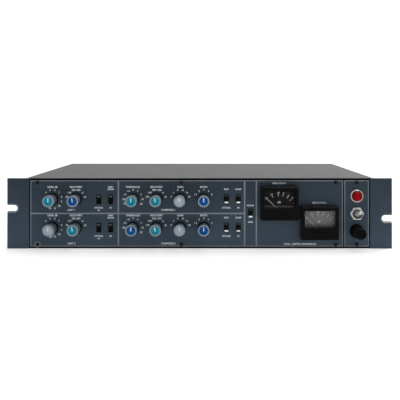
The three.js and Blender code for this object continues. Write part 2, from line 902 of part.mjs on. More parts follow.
function addInside() {
  const boardTop = mainBoard.height + mainBoard.thickness;
  const boardRight = openingHalf - mainsTransformer.edge - mainsTransformer.width - mainBoard.sideMargin;
  const boardLeft = -openingHalf + mainBoard.sideMargin;
  const boardNear = boardFront + mainBoard.frontGap;
  const board = box(
    boardLeft,
    boardRight,
    boardNear,
    rearInner - mainBoard.rearGap,
    mainBoard.height,
    boardTop,
  );
  piece("main_board", board, finishes.circuitBoard);

  const half = audioTransformer.size / 2;
  const names = ["input_transformer_1", "input_transformer_2", "output_transformer_1", "output_transformer_2"];
  names.forEach((name, i) => {
    const x = boardLeft + audioTransformer.edge + (i % 2) * audioTransformer.pitchX;
    const y = rearInner - mainBoard.rearGap - audioTransformer.edge - (i > 1 ? 0 : audioTransformer.pitchY);
    const z = boardTop + clearance;
    const can = box(x - half, x + half, y - half, y + half, z, z + audioTransformer.height);
    piece(name, can, finishes.screeningCan);
  });

  const t = mainsTransformer;
  const x = openingHalf - t.edge - t.width / 2;
  const y = rearInner - t.rearGap - t.depth / 2 - t.coilBulge;
  const z = sheet + clearance;
  const core = box(x - t.width / 2, x + t.width / 2, y - t.depth / 2, y + t.depth / 2, z, z + t.height);
  const coil = box(
    x - t.coilWidth / 2,
    x + t.coilWidth / 2,
    y - t.depth / 2 - t.coilBulge,
    y + t.depth / 2 + t.coilBulge,
    z + t.coilBulge / 2,
    z + t.height - t.coilBulge,
  );
  piece("mains_transformer", join(core, coil), finishes.laminations);
}

// ---------------------------------------------------------------- assembly

addEars();
addSidePlates();
addRails();
addCovers();
addPanels();
addRearPanel();
addKnobs();
addRockers();
addControlBoard();
addMeters();
addLamp();
addPowerSwitch();
addFuse();
addRearConnectors();
addInside();

// The fuse cap stands out furthest at the front, and the inlet's plate at the rear.
const frontmost = -Math.max(fuse.capFront, knob.front, toggle.leverLength + toggle.pivotFront);
const rearmost = rearFace + clearance + inlet.plateThickness;
rackUnit.position.y = -(frontmost + rearmost) / 2;

const compressor = new THREE.Group();
compressor.add(rackUnit);

export default compressor;
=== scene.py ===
import json
import math

import bmesh
import bpy
from mathutils import Matrix, Vector


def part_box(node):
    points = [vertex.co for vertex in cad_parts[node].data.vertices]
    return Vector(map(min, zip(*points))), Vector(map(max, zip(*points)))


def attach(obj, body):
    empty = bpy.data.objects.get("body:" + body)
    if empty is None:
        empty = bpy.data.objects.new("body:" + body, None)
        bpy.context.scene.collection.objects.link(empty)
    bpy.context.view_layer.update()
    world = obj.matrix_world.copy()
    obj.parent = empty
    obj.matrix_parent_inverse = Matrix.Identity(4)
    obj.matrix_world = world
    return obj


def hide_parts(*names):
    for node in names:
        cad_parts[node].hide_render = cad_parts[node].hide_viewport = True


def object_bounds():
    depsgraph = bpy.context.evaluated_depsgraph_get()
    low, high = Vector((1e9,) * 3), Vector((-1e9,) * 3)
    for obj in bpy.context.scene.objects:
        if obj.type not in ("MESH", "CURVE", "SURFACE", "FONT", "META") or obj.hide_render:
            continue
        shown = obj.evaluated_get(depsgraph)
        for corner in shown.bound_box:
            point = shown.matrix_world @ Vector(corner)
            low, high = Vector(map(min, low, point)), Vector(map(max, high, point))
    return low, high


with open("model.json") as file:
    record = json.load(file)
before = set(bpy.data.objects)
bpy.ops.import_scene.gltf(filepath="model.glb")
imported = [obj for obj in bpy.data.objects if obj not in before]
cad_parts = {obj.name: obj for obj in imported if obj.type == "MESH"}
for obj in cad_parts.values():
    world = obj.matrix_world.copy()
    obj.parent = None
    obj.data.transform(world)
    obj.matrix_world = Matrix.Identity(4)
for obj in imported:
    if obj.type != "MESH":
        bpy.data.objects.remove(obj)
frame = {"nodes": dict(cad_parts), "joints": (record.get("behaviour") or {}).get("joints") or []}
cad_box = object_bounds()

# ---------------------------------------------------------------- camera, table and light
# The camera stands level, a little above the unit, and looks straight at the controls. The unit rests on a
# white light table, in a room that is dim behind the camera and white beyond the unit.

MM = 0.001
scene = bpy.context.scene
panel_low, panel_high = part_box("control_panel")
FACE = panel_low.y
MIDDLE = (cad_box[1].z + cad_box[0].z) / 2
CAMERA_X = 10.5 * MM
CAMERA_DISTANCE = 733 * MM
CAMERA_HEIGHT = 160 * MM

camera = bpy.data.objects.new("camera", bpy.data.cameras.new("camera"))
camera.location = (CAMERA_X, FACE - CAMERA_DISTANCE, CAMERA_HEIGHT)
camera.rotation_euler = (math.radians(90), 0, 0)
camera.data.lens = 52.6
camera.data.sensor_width = 36
camera.data.shift_x = -0.02
camera.data.shift_y = -0.1975
camera.data.clip_start = 0.01
scene.collection.objects.link(camera)
scene.camera = camera
scene.view_settings.view_transform = "Standard"


def linear(hex_colour):
    """An sRGB colour written as hex, turned into the linear values that a shader reads."""
    shares = [int(hex_colour[i : i + 2], 16) / 255 for i in (0, 2, 4)]
    return (*[s / 12.92 if s <= 0.04045 else ((s + 0.055) / 1.055) ** 2.4 for s in shares], 1)


def add_node(tree, kind, inputs=None, **settings):
    """Adds a shader node with its settings. An input is a value or another node's output."""
    made = tree.nodes.new(kind)
    for name, value in settings.items():
        setattr(made, name, value)
    for name, value in (inputs or {}).items():
        if isinstance(value, bpy.types.NodeSocket):
            tree.links.new(value, made.inputs[name])
        else:
            made.inputs[name].default_value = value
    return made


def coated(name, dark, light, patch, grain, depth, gloss, **values):
    """A material that drifts between two tones over patches, with a fine grain and an uneven gloss."""
    made = bpy.data.materials.new(name)
    made.use_nodes = True
    tree = made.node_tree
    shader = tree.nodes["Principled BSDF"]
    for socket, value in values.items():
        shader.inputs[socket.replace("_", " ")].default_value = value
    coords = add_node(tree, "ShaderNodeTexCoord").outputs["Object"]
    clouds = add_node(tree, "ShaderNodeTexNoise", {"Vector": coords, "Scale": 1 / patch, "Detail": 3.0})
    drift = add_node(
        tree, "ShaderNodeMapRange", {"Value": clouds.outputs["Fac"], "From Min": 0.3, "From Max": 0.7}
    ).outputs["Result"]
    tone = add_node(tree, "ShaderNodeMix", {0: drift, 6: linear(dark), 7: linear(light)}, data_type="RGBA")
    tree.links.new(tone.outputs[2], shader.inputs["Base Color"])
    sheen = add_node(tree, "ShaderNodeMapRange", {"Value": drift, "To Min": gloss[0], "To Max": gloss[1]})
    tree.links.new(sheen.outputs["Result"], shader.inputs["Roughness"])
    pits = add_node(tree, "ShaderNodeTexNoise", {"Vector": coords, "Scale": 1 / grain, "Detail": 2.0})
    bump = add_node(
        tree, "ShaderNodeBump", {"Height": pits.outputs["Fac"], "Distance": depth, "Strength": 0.6}
    )
    tree.links.new(bump.outputs["Normal"], shader.inputs["Normal"])
    return made, tree, shader, coords, tone.outputs[2]


# White acrylic lit from below: matt and even.
TABLE_GLOW = 0.56
TABLE_HALF_WIDTH = 6.0
acrylic, _, shader, _, _ = coated("white_light_table", "f0f0f0", "f4f4f4", 0.4, 0.01, 0.0001, (0.85, 0.95))
shader.inputs["Emission Strength"].default_value = TABLE_GLOW
shader.inputs["Emission Color"].default_value = linear("ffffff")

ROOM_BEHIND_CAMERA = 0.16
ROOM_BEYOND_UNIT = 1.15
room = bpy.data.worlds.new("dim_room")
room.use_nodes = True
walls = room.node_tree
heading = add_node(walls, "ShaderNodeTexCoord").outputs["Generated"]
ahead = add_node(walls, "ShaderNodeSeparateXYZ", {"Vector": heading}).outputs["Y"]
glow = add_node(
    walls,
    "ShaderNodeMapRange",
    {
        "Value": ahead,
        "From Min": -0.1,
        "From Max": 0.45,
        "To Min": ROOM_BEHIND_CAMERA,
        "To Max": ROOM_BEYOND_UNIT,
    },
)
walls.links.new(glow.outputs["Result"], walls.nodes["Background"].inputs["Strength"])
walls.nodes["Background"].inputs["Color"].default_value = linear("ffffff")
scene.world = room

table = bmesh.new()
bmesh.ops.create_grid(table, x_segments=1, y_segments=1, size=TABLE_HALF_WIDTH)
table_mesh = bpy.data.meshes.new("floor")
table.to_mesh(table_mesh)
table.free()
table_mesh.materials.append(acrylic)
floor = bpy.data.objects.new("floor", table_mesh)
scene.collection.objects.link(floor)
# The table is kept out of reflections, so that the black pieces that face it stay black.
floor.visible_glossy = False


def softbox(name, place, aim, width, height, power):
    """An area light in its place, aimed at a point. Its sides are in metres and its power in watts."""
    light = bpy.data.lights.new(name, "AREA")
    light.shape = "RECTANGLE"
    light.size = width
    light.size_y = height
    light.energy = power
    made = bpy.data.objects.new(name, light)
    made.location = place
    made.rotation_euler = (Vector(aim) - Vector(place)).to_track_quat("-Z", "Y").to_euler()
    scene.collection.objects.link(made)


softbox("overhead_softbox", (0.5, 0.0, 1.4), (0, 0, 0.05), 1.2, 0.8, 5.5)
softbox("rear_softbox", (1.2, 0.9, 0.9), (0.2, 0.1, 0.09), 0.5, 0.4, 11)
softbox("front_softbox", (0.7, -1.7, 1.0), (0, FACE, 0.05), 0.8, 0.6, 2.6)

# ---------------------------------------------------------------- rack ears
# Each ear is a folded aluminium plate with an open slot for the rack's screw, painted with the panels. The
# slot's countersunk edge is worn to bare metal. The same piece fits both ends, turned end for end.


def piece(name, shape, materials, body, replaces=(), smooth=30):
    """Turns a finished bmesh into an object that rides on a body."""
    mesh = bpy.data.meshes.new(name)
    shape.to_mesh(mesh)
    shape.free()
    for material in materials:
        mesh.materials.append(material)
    mesh.shade_smooth()
    mesh.set_sharp_from_angle(angle=math.radians(smooth))
    made = bpy.data.objects.new(name, mesh)
    scene.collection.objects.link(made)
    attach(made, body)
    if replaces:
        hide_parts(*replaces)


def put(target, shape, place=Matrix(), material=None):
    """Adds a finished shape to a piece's mesh, in its place."""
    if material is not None:
        for face in shape.faces:
            face.material_index = material
    shape.transform(place)
    mesh = bpy.data.meshes.new("shape")
    shape.to_mesh(mesh)
    target.from_mesh(mesh)
    bpy.data.meshes.remove(mesh)
    shape.free()


def soften(shape, edges, width, segments=2, material=-1):
    """Bevels these edges. A material of -1 keeps that of the faces beside them."""
    bmesh.ops.bevel(
        shape,
        geom=list(edges),
        offset=width,
        segments=segments,
        profile=0.5,
        affect="EDGES",
        clamp_overlap=True,
        material=material,
    )


def block(low, high, edge=0.3 * MM):
    """A box with softened edges, between two corners."""
    shape = bmesh.new()
    bmesh.ops.create_cube(shape, size=1)
    low, high = Vector(low), Vector(high)
    bmesh.ops.scale(shape, vec=high - low, verts=shape.verts)
    bmesh.ops.translate(shape, vec=(low + high) / 2, verts=shape.verts)
    if edge:
        soften(shape, shape.edges, edge)
    return shape


def plate(outline, thickness):
    """A flat plate with this outline in local X and Y, whose front is at local Z = 0."""
    shape = bmesh.new()
    front = shape.faces.new([shape.verts.new((x, y, -thickness)) for x, y in outline])
    raised = bmesh.ops.extrude_face_region(shape, geom=[front])["geom"]
    moved = [v for v in raised if isinstance(v, bmesh.types.BMVert)]
    bmesh.ops.translate(shape, vec=(0, 0, thickness), verts=moved)
    bmesh.ops.recalc_face_normals(shape, faces=shape.faces)
    return shape


def facing(x, z, y=FACE, turn=0.0, heading=0):
    """From local X, Y and outward Z to a place on a side of the unit, turned clockwise by this many degrees.
    The heading is 0 for the front, 90 for the right-hand side, 180 for the rear and -90 for the left."""
    upright = Matrix.Rotation(math.radians(heading), 4, "Z") @ Matrix.Rotation(math.radians(90), 4, "X")
    return Matrix.Translation((x, y, z)) @ upright @ Matrix.Rotation(-math.radians(turn), 4, "Z")


EAR_THICKNESS = 4 * MM
SLOT_WIDTH = 7 * MM
SLOT_DEPTH = 12 * MM
SLOT_CHAMFER = 2.4 * MM
SLOT_RISE = 6.35 * MM
LEG_THICKNESS = 2.5 * MM
LEG_LENGTH = 30 * MM
LEG_GAP = 0.3 * MM
ear_low, ear_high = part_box("rack_ear_left")
side_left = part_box("side_plate_left")[0].x
leg_face = side_left - LEG_GAP - LEG_THICKNESS

# Enamel sprayed on aluminium and baked: satin, with a fine orange peel and faint clouding. Its tone pales
# towards the bottom and darkens towards the top: painted light, as if from the white table below.
enamel, tree, shader, coords, tone = coated(
    "slate_blue_stoved_enamel", "313f4d", "364553",
    60 * MM, 0.9 * MM, 0.03 * MM, (0.4, 0.5), Specular_IOR_Level=0.4,
)
height = add_node(tree, "ShaderNodeSeparateXYZ", {"Vector": coords}).outputs["Z"]
# Painted light: the colour is multiplied up near the bottom and down near the top, as if the table lit it.
painted_floor_light = add_node(
    tree,
    "ShaderNodeMapRange",
    {"Value": height, "From Min": 10 * MM, "From Max": 85 * MM, "To Min": 1.55, "To Max": 0.88},
)
enamel_painted_floor_light = add_node(
    tree,
    "ShaderNodeMix",
    {0: 1.0, 6: tone, 7: painted_floor_light.outputs["Result"]},
    data_type="RGBA",
    blend_type="MULTIPLY",
)
tree.links.new(enamel_painted_floor_light.outputs[2], shader.inputs["Base Color"])
# Aluminium laid bare by screws: dull silver, scored by fine scratches.
bare_metal = coated(
    "worn_bare_aluminium", "b0b2b3", "cccecf", 2 * MM, 0.35 * MM, 0.05 * MM, (0.3, 0.5), Metallic=0.85
)[0]


def ear_outline():
    slot_z = MIDDLE + SLOT_RISE
    left, right, low, high = ear_low.x, ear_high.x, ear_low.z, ear_high.z
    centre = left + SLOT_DEPTH - SLOT_WIDTH / 2
    arc = [math.radians(a) for a in range(90, -91, -10)]
    points = [(left, low), (right, low), (right, high), (left, high)]
    points.append((left, slot_z + SLOT_WIDTH / 2))
    points += [(centre + SLOT_WIDTH / 2 * math.cos(a), slot_z + SLOT_WIDTH / 2 * math.sin(a)) for a in arc]
    points.append((left, slot_z - SLOT_WIDTH / 2))
    return points


def ear_shape():
    shape = plate(ear_outline(), EAR_THICKNESS)
    inside = ear_low.x + SLOT_DEPTH + 0.1 * MM
    near_slot = lambda v: v.co.x < inside and abs(v.co.y - MIDDLE - SLOT_RISE) < SLOT_WIDTH / 2 + 0.1 * MM
    on_end = lambda e: all(abs(v.co.x - ear_low.x) < 0.01 * MM for v in e.verts)
    rim = [
        e
        for e in shape.edges
        if all(near_slot(v) and v.co.z > -0.01 * MM for v in e.verts) and not on_end(e)
    ]
    soften(shape, rim, SLOT_CHAMFER, 3, 1)
    shape.transform(facing(0, 0))
    low = (leg_face, FACE + EAR_THICKNESS - 0.5 * MM, panel_low.z)
    put(shape, block(low, (leg_face + LEG_THICKNESS, FACE + LEG_LENGTH, panel_high.z)), material=0)
    return shape


end_for_end = Matrix.Translation((0, 0, 2 * MIDDLE)) @ Matrix.Rotation(math.pi, 4, "Y")
for side, place in (("left", Matrix()), ("right", end_for_end)):
    ear = bmesh.new()
    put(ear, ear_shape(), place)
    name = f"rack_ear_{side}"
    piece(f"{name}_folded", ear, [enamel, bare_metal], "chassis", [name])

# ---------------------------------------------------------------- case
# Flat side plates, extruded rails behind the panels, two sheet covers and a rear panel. The rails' front edge
# is painted black, as painted shadow for the gap by the panels. The top cover and rear panel are matt grey,
# and the side plates and bottom cover zinc plated.


def dress(node, material, edge=0.25 * MM):
    """Gives a CAD piece its material and softens its edges."""
    shown = frame["nodes"][node]
    shown.data.materials.clear()
    shown.data.materials.append(material)
    weld = shown.modifiers.new("weld", "WELD")
    weld.merge_threshold = 0.01 * MM
    if edge:
        bevel = shown.modifiers.new("edge", "BEVEL")
        bevel.width = edge
        bevel.segments = 2
        bevel.limit_method = "ANGLE"
        bevel.angle_limit = math.radians(60)


# Grey enamel sprayed on steel sheet: matt, with a fine grain, rubbed patches and a few pale scuffs.
cover_paint, tree, shader, coords, tone = coated(
    "grey_cover_enamel", "58595b", "646567",
    45 * MM, 1.0 * MM, 0.04 * MM, (0.6, 0.75), Specular_IOR_Level=0.35,
)
along = add_node(
    tree, "ShaderNodeMapping", {"Vector": coords, "Rotation": (0, 0, 0.5), "Scale": (1, 0.12, 1)}
)
streaks = add_node(
    tree, "ShaderNodeTexNoise", {"Vector": along.outputs["Vector"], "Scale": 1 / (5 * MM), "Detail": 6.0}
)
scuffed = add_node(
    tree, "ShaderNodeMapRange", {"Value": streaks.outputs["Fac"], "From Min": 0.66, "From Max": 0.78}
)
scuffs = add_node(
    tree,
    "ShaderNodeMix",
    {0: scuffed.outputs["Result"], 6: tone, 7: linear("747576")},
    data_type="RGBA",
)
tree.links.new(scuffs.outputs[2], shader.inputs["Base Color"])

# Steel sheet with dull zinc plating: crystal patches about 6 mm across and a slight yellow cast.
zinc, tree, shader, coords, tone = coated(
    "passivated_zinc_plate", "8f928c", "9ea099", 20 * MM, 0.8 * MM, 0.02 * MM, (0.34, 0.5), Metallic=0.8
)
crystals = add_node(tree, "ShaderNodeTexVoronoi", {"Vector": coords, "Scale": 1 / (6 * MM)}).outputs["Color"]
spangle = add_node(tree, "ShaderNodeMix", {0: crystals, 6: tone, 7: linear("aaaca5")}, data_type="RGBA")
tree.links.new(spangle.outputs[2], shader.inputs["Base Color"])

# Grey enamel on extruded aluminium. Its front edge is painted black: painted shadow for the gap beside the
# panels.
rail_metal, tree, shader, coords, tone = coated(
    "grey_rail_painted_shadow_front", "66676a", "6e6f72",
    15 * MM, 0.5 * MM, 0.02 * MM, (0.5, 0.62), Specular_IOR_Level=0.1,
)
depth_in = add_node(tree, "ShaderNodeSeparateXYZ", {"Vector": coords}).outputs["Y"]
front_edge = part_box("front_rail_top")[0].y
behind = add_node(
    tree,
    "ShaderNodeMapRange",
    {"Value": depth_in, "From Min": front_edge + 1.2 * MM, "From Max": front_edge + 1.6 * MM},
).outputs["Result"]
# Black in front of this depth: painted shadow, not a real finish.
rail_colour_painted_shadow = add_node(tree, "ShaderNodeMix", {0: behind, 6: linear("010101"), 7: tone}, data_type="RGBA")
tree.links.new(rail_colour_painted_shadow.outputs[2], shader.inputs["Base Color"])

dress("top_cover", cover_paint, 0.4 * MM)
dress("rear_panel", cover_paint)
for node in ("bottom_cover", "side_plate_left", "side_plate_right"):
    dress(node, zinc, 0.3 * MM)
for node in ("front_rail_top", "front_rail_bottom"):
    dress(node, rail_metal, 0.2 * MM)

# ---------------------------------------------------------------- panels and their printing
# Two aluminium panels in the ears' enamel. Border lines, captions and figures are screen-printed in greys. A
# black strip along each panel's upper and lower edge is painted shadow, and a black dot stands above each gain
# knob.

INK = 0.04 * MM
dress("control_panel", enamel, 0.2 * MM)
dress("power_panel", enamel, 0.2 * MM)

# Screen ink, thin and slightly uneven where the mesh let more or less of it through.
line_ink = coated("grey_screen_ink", "828b93", "8a939b", 12 * MM, 0.3 * MM, 0.01 * MM, (0.45, 0.6))[0]
# The same ink in a paler tone, for words and figures.
letter_ink = coated("pale_screen_ink", "e3edf4", "eef5fa", 6 * MM, 0.3 * MM, 0.01 * MM, (0.45, 0.6))[0]
# Black ink for the dots, and the same black for the edge strips, which are painted shadow.
black_ink_and_painted_shadow = coated("black_screen_ink_and_painted_shadow", "0a0a0b", "111214", 2 * MM, 0.3 * MM, 0.01 * MM, (0.45, 0.6))[0]

power_low, power_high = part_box("power_panel")
lines_print = bmesh.new()


def print_bar(x0, x1, z0, z1):
    put(lines_print, block((x0, FACE - INK, z0), (x1, FACE + INK, z1), 0))


BORDER = 0.9 * MM
MARGIN = 0.65 * MM
SIDE_MARGIN = 0.3 * MM
DIVIDER = 1.7 * MM
END = MARGIN + BORDER + 0.05 * MM
LIMIT_WIDTH = 110.5 * MM
COMPRESS_WIDTH = 158.3 * MM
LINK_WIDTH = 14.8 * MM
for low, high in ((panel_low, panel_high), (power_low, power_high)):
    x0, x1 = low.x + SIDE_MARGIN, high.x - SIDE_MARGIN
    z0, z1 = low.z + MARGIN, high.z - MARGIN
    print_bar(x0, x1, z0, z0 + BORDER)
    print_bar(x0, x1, z1 - BORDER, z1)
    print_bar(x0, x0 + BORDER, z0 + BORDER, z1 - BORDER)
    print_bar(x1 - BORDER, x1, z0 + BORDER, z1 - BORDER)

limit_end = panel_low.x + LIMIT_WIDTH
compress_end = limit_end + COMPRESS_WIDTH
link_end = compress_end + LINK_WIDTH
for x in (limit_end, compress_end, link_end):
    print_bar(x - DIVIDER / 2, x + DIVIDER / 2, panel_low.z + END, panel_high.z - END)
for x0, x1 in ((panel_low.x + BORDER, limit_end), (limit_end + DIVIDER / 2, compress_end)):
    print_bar(x0 + 0.35 * MM, x1 - DIVIDER / 2 - 0.05 * MM, MIDDLE - DIVIDER / 2, MIDDLE + DIVIDER / 2)
piece("panel_border_lines", lines_print, [line_ink], "chassis")


CAPITAL_SHARE = 0.69
WEIGHT = 0.045


def words(text, height, place):
    """Flat letters of this height, as a mesh in their place."""
    curve = bpy.data.curves.new("words", "FONT")
    curve.body = text
    curve.size = height / CAPITAL_SHARE
    curve.offset = WEIGHT * height
    curve.resolution_u = 2
    curve.align_x = "CENTER"
    curve.align_y = "CENTER"
    typeset = bpy.data.objects.new("words", curve)
    mesh = bpy.data.meshes.new_from_object(typeset)
    mesh.transform(place)
    shape = bmesh.new()
    shape.from_mesh(mesh)
    bpy.data.meshes.remove(mesh)
    bpy.data.objects.remove(typeset)
    bpy.data.curves.remove(curve)
    return shape


letters = bmesh.new()


def caption(text, x, z, height=1.9 * MM):
    put(letters, words(text, height, facing(x, z, FACE - INK)), material=0)


def axis_of(joint_name):
    """Where a joint's axis is, in X and Z."""
    joint = next(j for j in frame["joints"] if j["name"] == joint_name)
    return joint["pos_m"][0], joint["pos_m"][2]


# Each rotary control: the angle of its scale's first figure, in degrees clockwise from straight up, and the
# figures; its caption; and for each channel the pointer's angle, the cap's colour and whether it has a wing.
CONTROLS = {
    "limit_level": (-45, "4 5 6 7 8 9 10 11 12", "LEVEL dB", ((0, "teal", False), (160, "grey", True))),
    "limit_recovery": (-75, "50 100 200 800 a1 a2", "RECOVERY", ((-8, "blue", False), (-8, "teal", False))),
    "threshold": (-90, "-20 -15 -10 -5 0 5 10 15", "THRESHOLD", ((-108, "teal", True), (0, "blue", False))),
    "recovery": (-75, "100 400 800 1500 a1 a2", "RECOVERY", ((-8, "teal", False), (-10, "teal", False))),
    "gain": (-75, "0 4 8 12 16 20", "GAIN", ((-5, "grey", False), (0, "grey", False))),
    "ratio": (-60, "1.5 2 3 4 6", "RATIO", ((0, "blue", False), (0, "blue", False))),
}
SCALE_RADIUS = 11.8 * MM
FIGURE_STEP = 30
FIGURE_HEIGHT = 2.2 * MM
CAPTION_RISE = 15.3 * MM
STRIP_INSET = 0.15 * MM
STRIP_HEIGHT = 0.5 * MM
DOT_RADIUS = 1.4 * MM
DOT_SHIFT = 0.9 * MM
DOT_RISE = 12.5 * MM
black_dots_and_shadow_strips = bmesh.new()
# Black strips along each panel's upper and lower edge: painted shadow of the gaps by the rails.
for low, high in ((panel_low, panel_high), (power_low, power_high)):
    x0, x1 = low.x + SIDE_MARGIN, high.x - SIDE_MARGIN
    for z0 in (low.z + STRIP_INSET, high.z - MARGIN):
        put(black_dots_and_shadow_strips, block((x0, FACE - INK, z0), (x1, FACE + INK, z0 + STRIP_HEIGHT), 0))
for name, (first, figures, title, _) in CONTROLS.items():
    for channel in "12":
        x, z = axis_of(f"{name}_turn_{channel}")
        caption(title, x, z + CAPTION_RISE, FIGURE_HEIGHT)
        for i, figure in enumerate(figures.split()):
            angle = math.radians(first + FIGURE_STEP * i)
            figure_x, figure_z = x + SCALE_RADIUS * math.sin(angle), z + SCALE_RADIUS * math.cos(angle)
            caption(figure, figure_x, figure_z, FIGURE_HEIGHT)
        if name == "gain":
            dot = bmesh.new()
            bmesh.ops.create_circle(dot, cap_ends=True, segments=20, radius=DOT_RADIUS)
            put(black_dots_and_shadow_strips, dot, facing(x + DOT_SHIFT, z + DOT_RISE, FACE - 1.2 * INK))
piece("black_print_and_painted_shadow_strips", black_dots_and_shadow_strips, [black_ink_and_painted_shadow], "chassis")

for channel, below in (("1", 13.5 * MM), ("2", 20 * MM)):
    limit_x = (axis_of("limit_level_turn_1")[0] + axis_of("limit_recovery_turn_1")[0]) / 2
    compress_x = (axis_of("threshold_turn_1")[0] + axis_of("ratio_turn_1")[0]) / 2
    row = axis_of(f"ratio_turn_{channel}")[1]
    caption(f"LIMIT {channel}", limit_x + 9 * MM, row - below, 2.1 * MM)
    caption(f"COMPRESS {channel}", compress_x, row - below, 2.2 * MM)
    for name, over, under in (
        ("limit_attack_rock", (), ("ATTACK", "ms")),
        ("limit_in_rock", ("LIMIT", "MODE"), ("IN",)),
        ("compress_attack_rock", ("FAST",), ("ATTACK",)),
        ("compress_in_rock", ("COMP",), ("IN",)),
    ):
        x, z = axis_of(f"{name}_{channel}")
        for i, text in enumerate(reversed(over)):
            caption(text, x, z + (12.4 + 2.8 * i) * MM)
        for i, text in enumerate(under):
            caption(text, x, z - (10.7 + 2.8 * i) * MM)
x, z = axis_of("stereo_link_rock")
caption("MONO", x, z + 9.9 * MM)
caption("LINK", x, z - 10.8 * MM)
for channel in "12":
    low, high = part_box(f"meter_case_{channel}")
    caption(f"REDUCTION {channel}", (low.x + high.x) / 2 + 1 * MM, high.z + 3.6 * MM)
caption("DUAL  LIMITER COMPRESSOR", link_end + 54.8 * MM, panel_low.z + 3.6 * MM, 2.1 * MM)
piece("panel_lettering", letters, [letter_ink], "chassis")

# ---------------------------------------------------------------- rotary controls
# A collet knob for each control: a moulded grey body, on two of them with a wing that points to the scale, a
# face that is paler than the sides, whose darker grey is painted shade, and a coloured cap with a white line.
# Its steel shaft turns in a bush held by a black nut and washer.

KNOB_FRONT = 20.8 * MM
KNOB_REAR = 3.4 * MM
KNOB_RADIUS = 7.1 * MM
KNOB_REAR_SHARE = 0.89
WING_TIP = 9.7 * MM
WING_TIP_HALF = 0.9 * MM
WING_ROOT_HALF = 2.6 * MM
WING_SET_BACK = 1.2 * MM
CAP_RADIUS = 5.4 * MM
CAP_DEPTH = 1.8 * MM
SHAFT_RADIUS = 3 * MM
SHAFT_REAR = -13 * MM
SHAFT_FRONT = KNOB_REAR + 6 * MM
NUT_TURN = 17


def moulded(name, dark, light, gloss, **values):
    """Injection-moulded ABS, with faint flow clouds and the mould's fine spark-eroded grain."""
    return coated(name, dark, light, 9 * MM, 0.25 * MM, 0.012 * MM, gloss, **values)[0]


# The sides are the face's plastic, coloured darker as painted shade.
knob_side_painted_shade = moulded("grey_knob_abs_painted_shade", "6a7072", "767d7f", (0.45, 0.55))
knob_face = moulded("pale_grey_knob_abs", "8997a2", "97a5ae", (0.35, 0.48), Specular_IOR_Level=0.3)
knob_wing = moulded("mid_grey_wing_abs", "8e9aa0", "9aa6ab", (0.4, 0.5), Specular_IOR_Level=0.3)
cap_materials = {
    "teal": moulded("teal_cap_abs", "00869f", "1292ab", (0.25, 0.36), Specular_IOR_Level=0.2),
    "blue": moulded("blue_cap_abs", "004a92", "0054a0", (0.25, 0.36), Specular_IOR_Level=0.15),
    "grey": moulded("grey_cap_abs", "a6b1bc", "b3bec9", (0.3, 0.4), Specular_IOR_Level=0.3),
}
cap_line = moulded("white_cap_line", "dcebf2", "e8f3f8", (0.35, 0.5))
black_abs = moulded("black_moulded_abs", "060607", "0b0c0d", (0.34, 0.46), Specular_IOR_Level=0.2)

# Free-cutting steel as it comes off the lathe, with fine turning lines.
steel = coated("turned_steel", "9a9c9d", "adafb0", 3 * MM, 0.3 * MM, 0.01 * MM, (0.22, 0.4), Metallic=1.0)[0]
# Chemically blacked steel: dark and slightly oily, with paler rubbed corners.
black_nut = coated(
    "blacked_steel", "0e0f10", "232527", 1.5 * MM, 0.4 * MM, 0.02 * MM, (0.32, 0.5), Metallic=0.6
)[0]


def in_mm(points):
    """Points given in millimetres, in metres."""
    return [(a * MM, b * MM) for a, b in points]


def turned(profile, steps=32, closed=False):
    """A piece turned about local Z from its radius and height at each point."""
    shape = bmesh.new()
    points = [shape.verts.new((r, 0, h)) for r, h in profile]
    pairs = list(zip(points, points[1:]))
    if closed:
        pairs.append((points[-1], points[0]))
    edges = [shape.edges.new(pair) for pair in pairs]
    bmesh.ops.spin(
        shape, geom=[*points, *edges], cent=(0, 0, 0), axis=(0, 0, 1), angle=2 * math.pi, steps=steps,
        use_merge=True,
    )
    bmesh.ops.remove_doubles(shape, verts=shape.verts, dist=0.002 * MM)
    bmesh.ops.recalc_face_normals(shape, faces=shape.faces)
    return shape


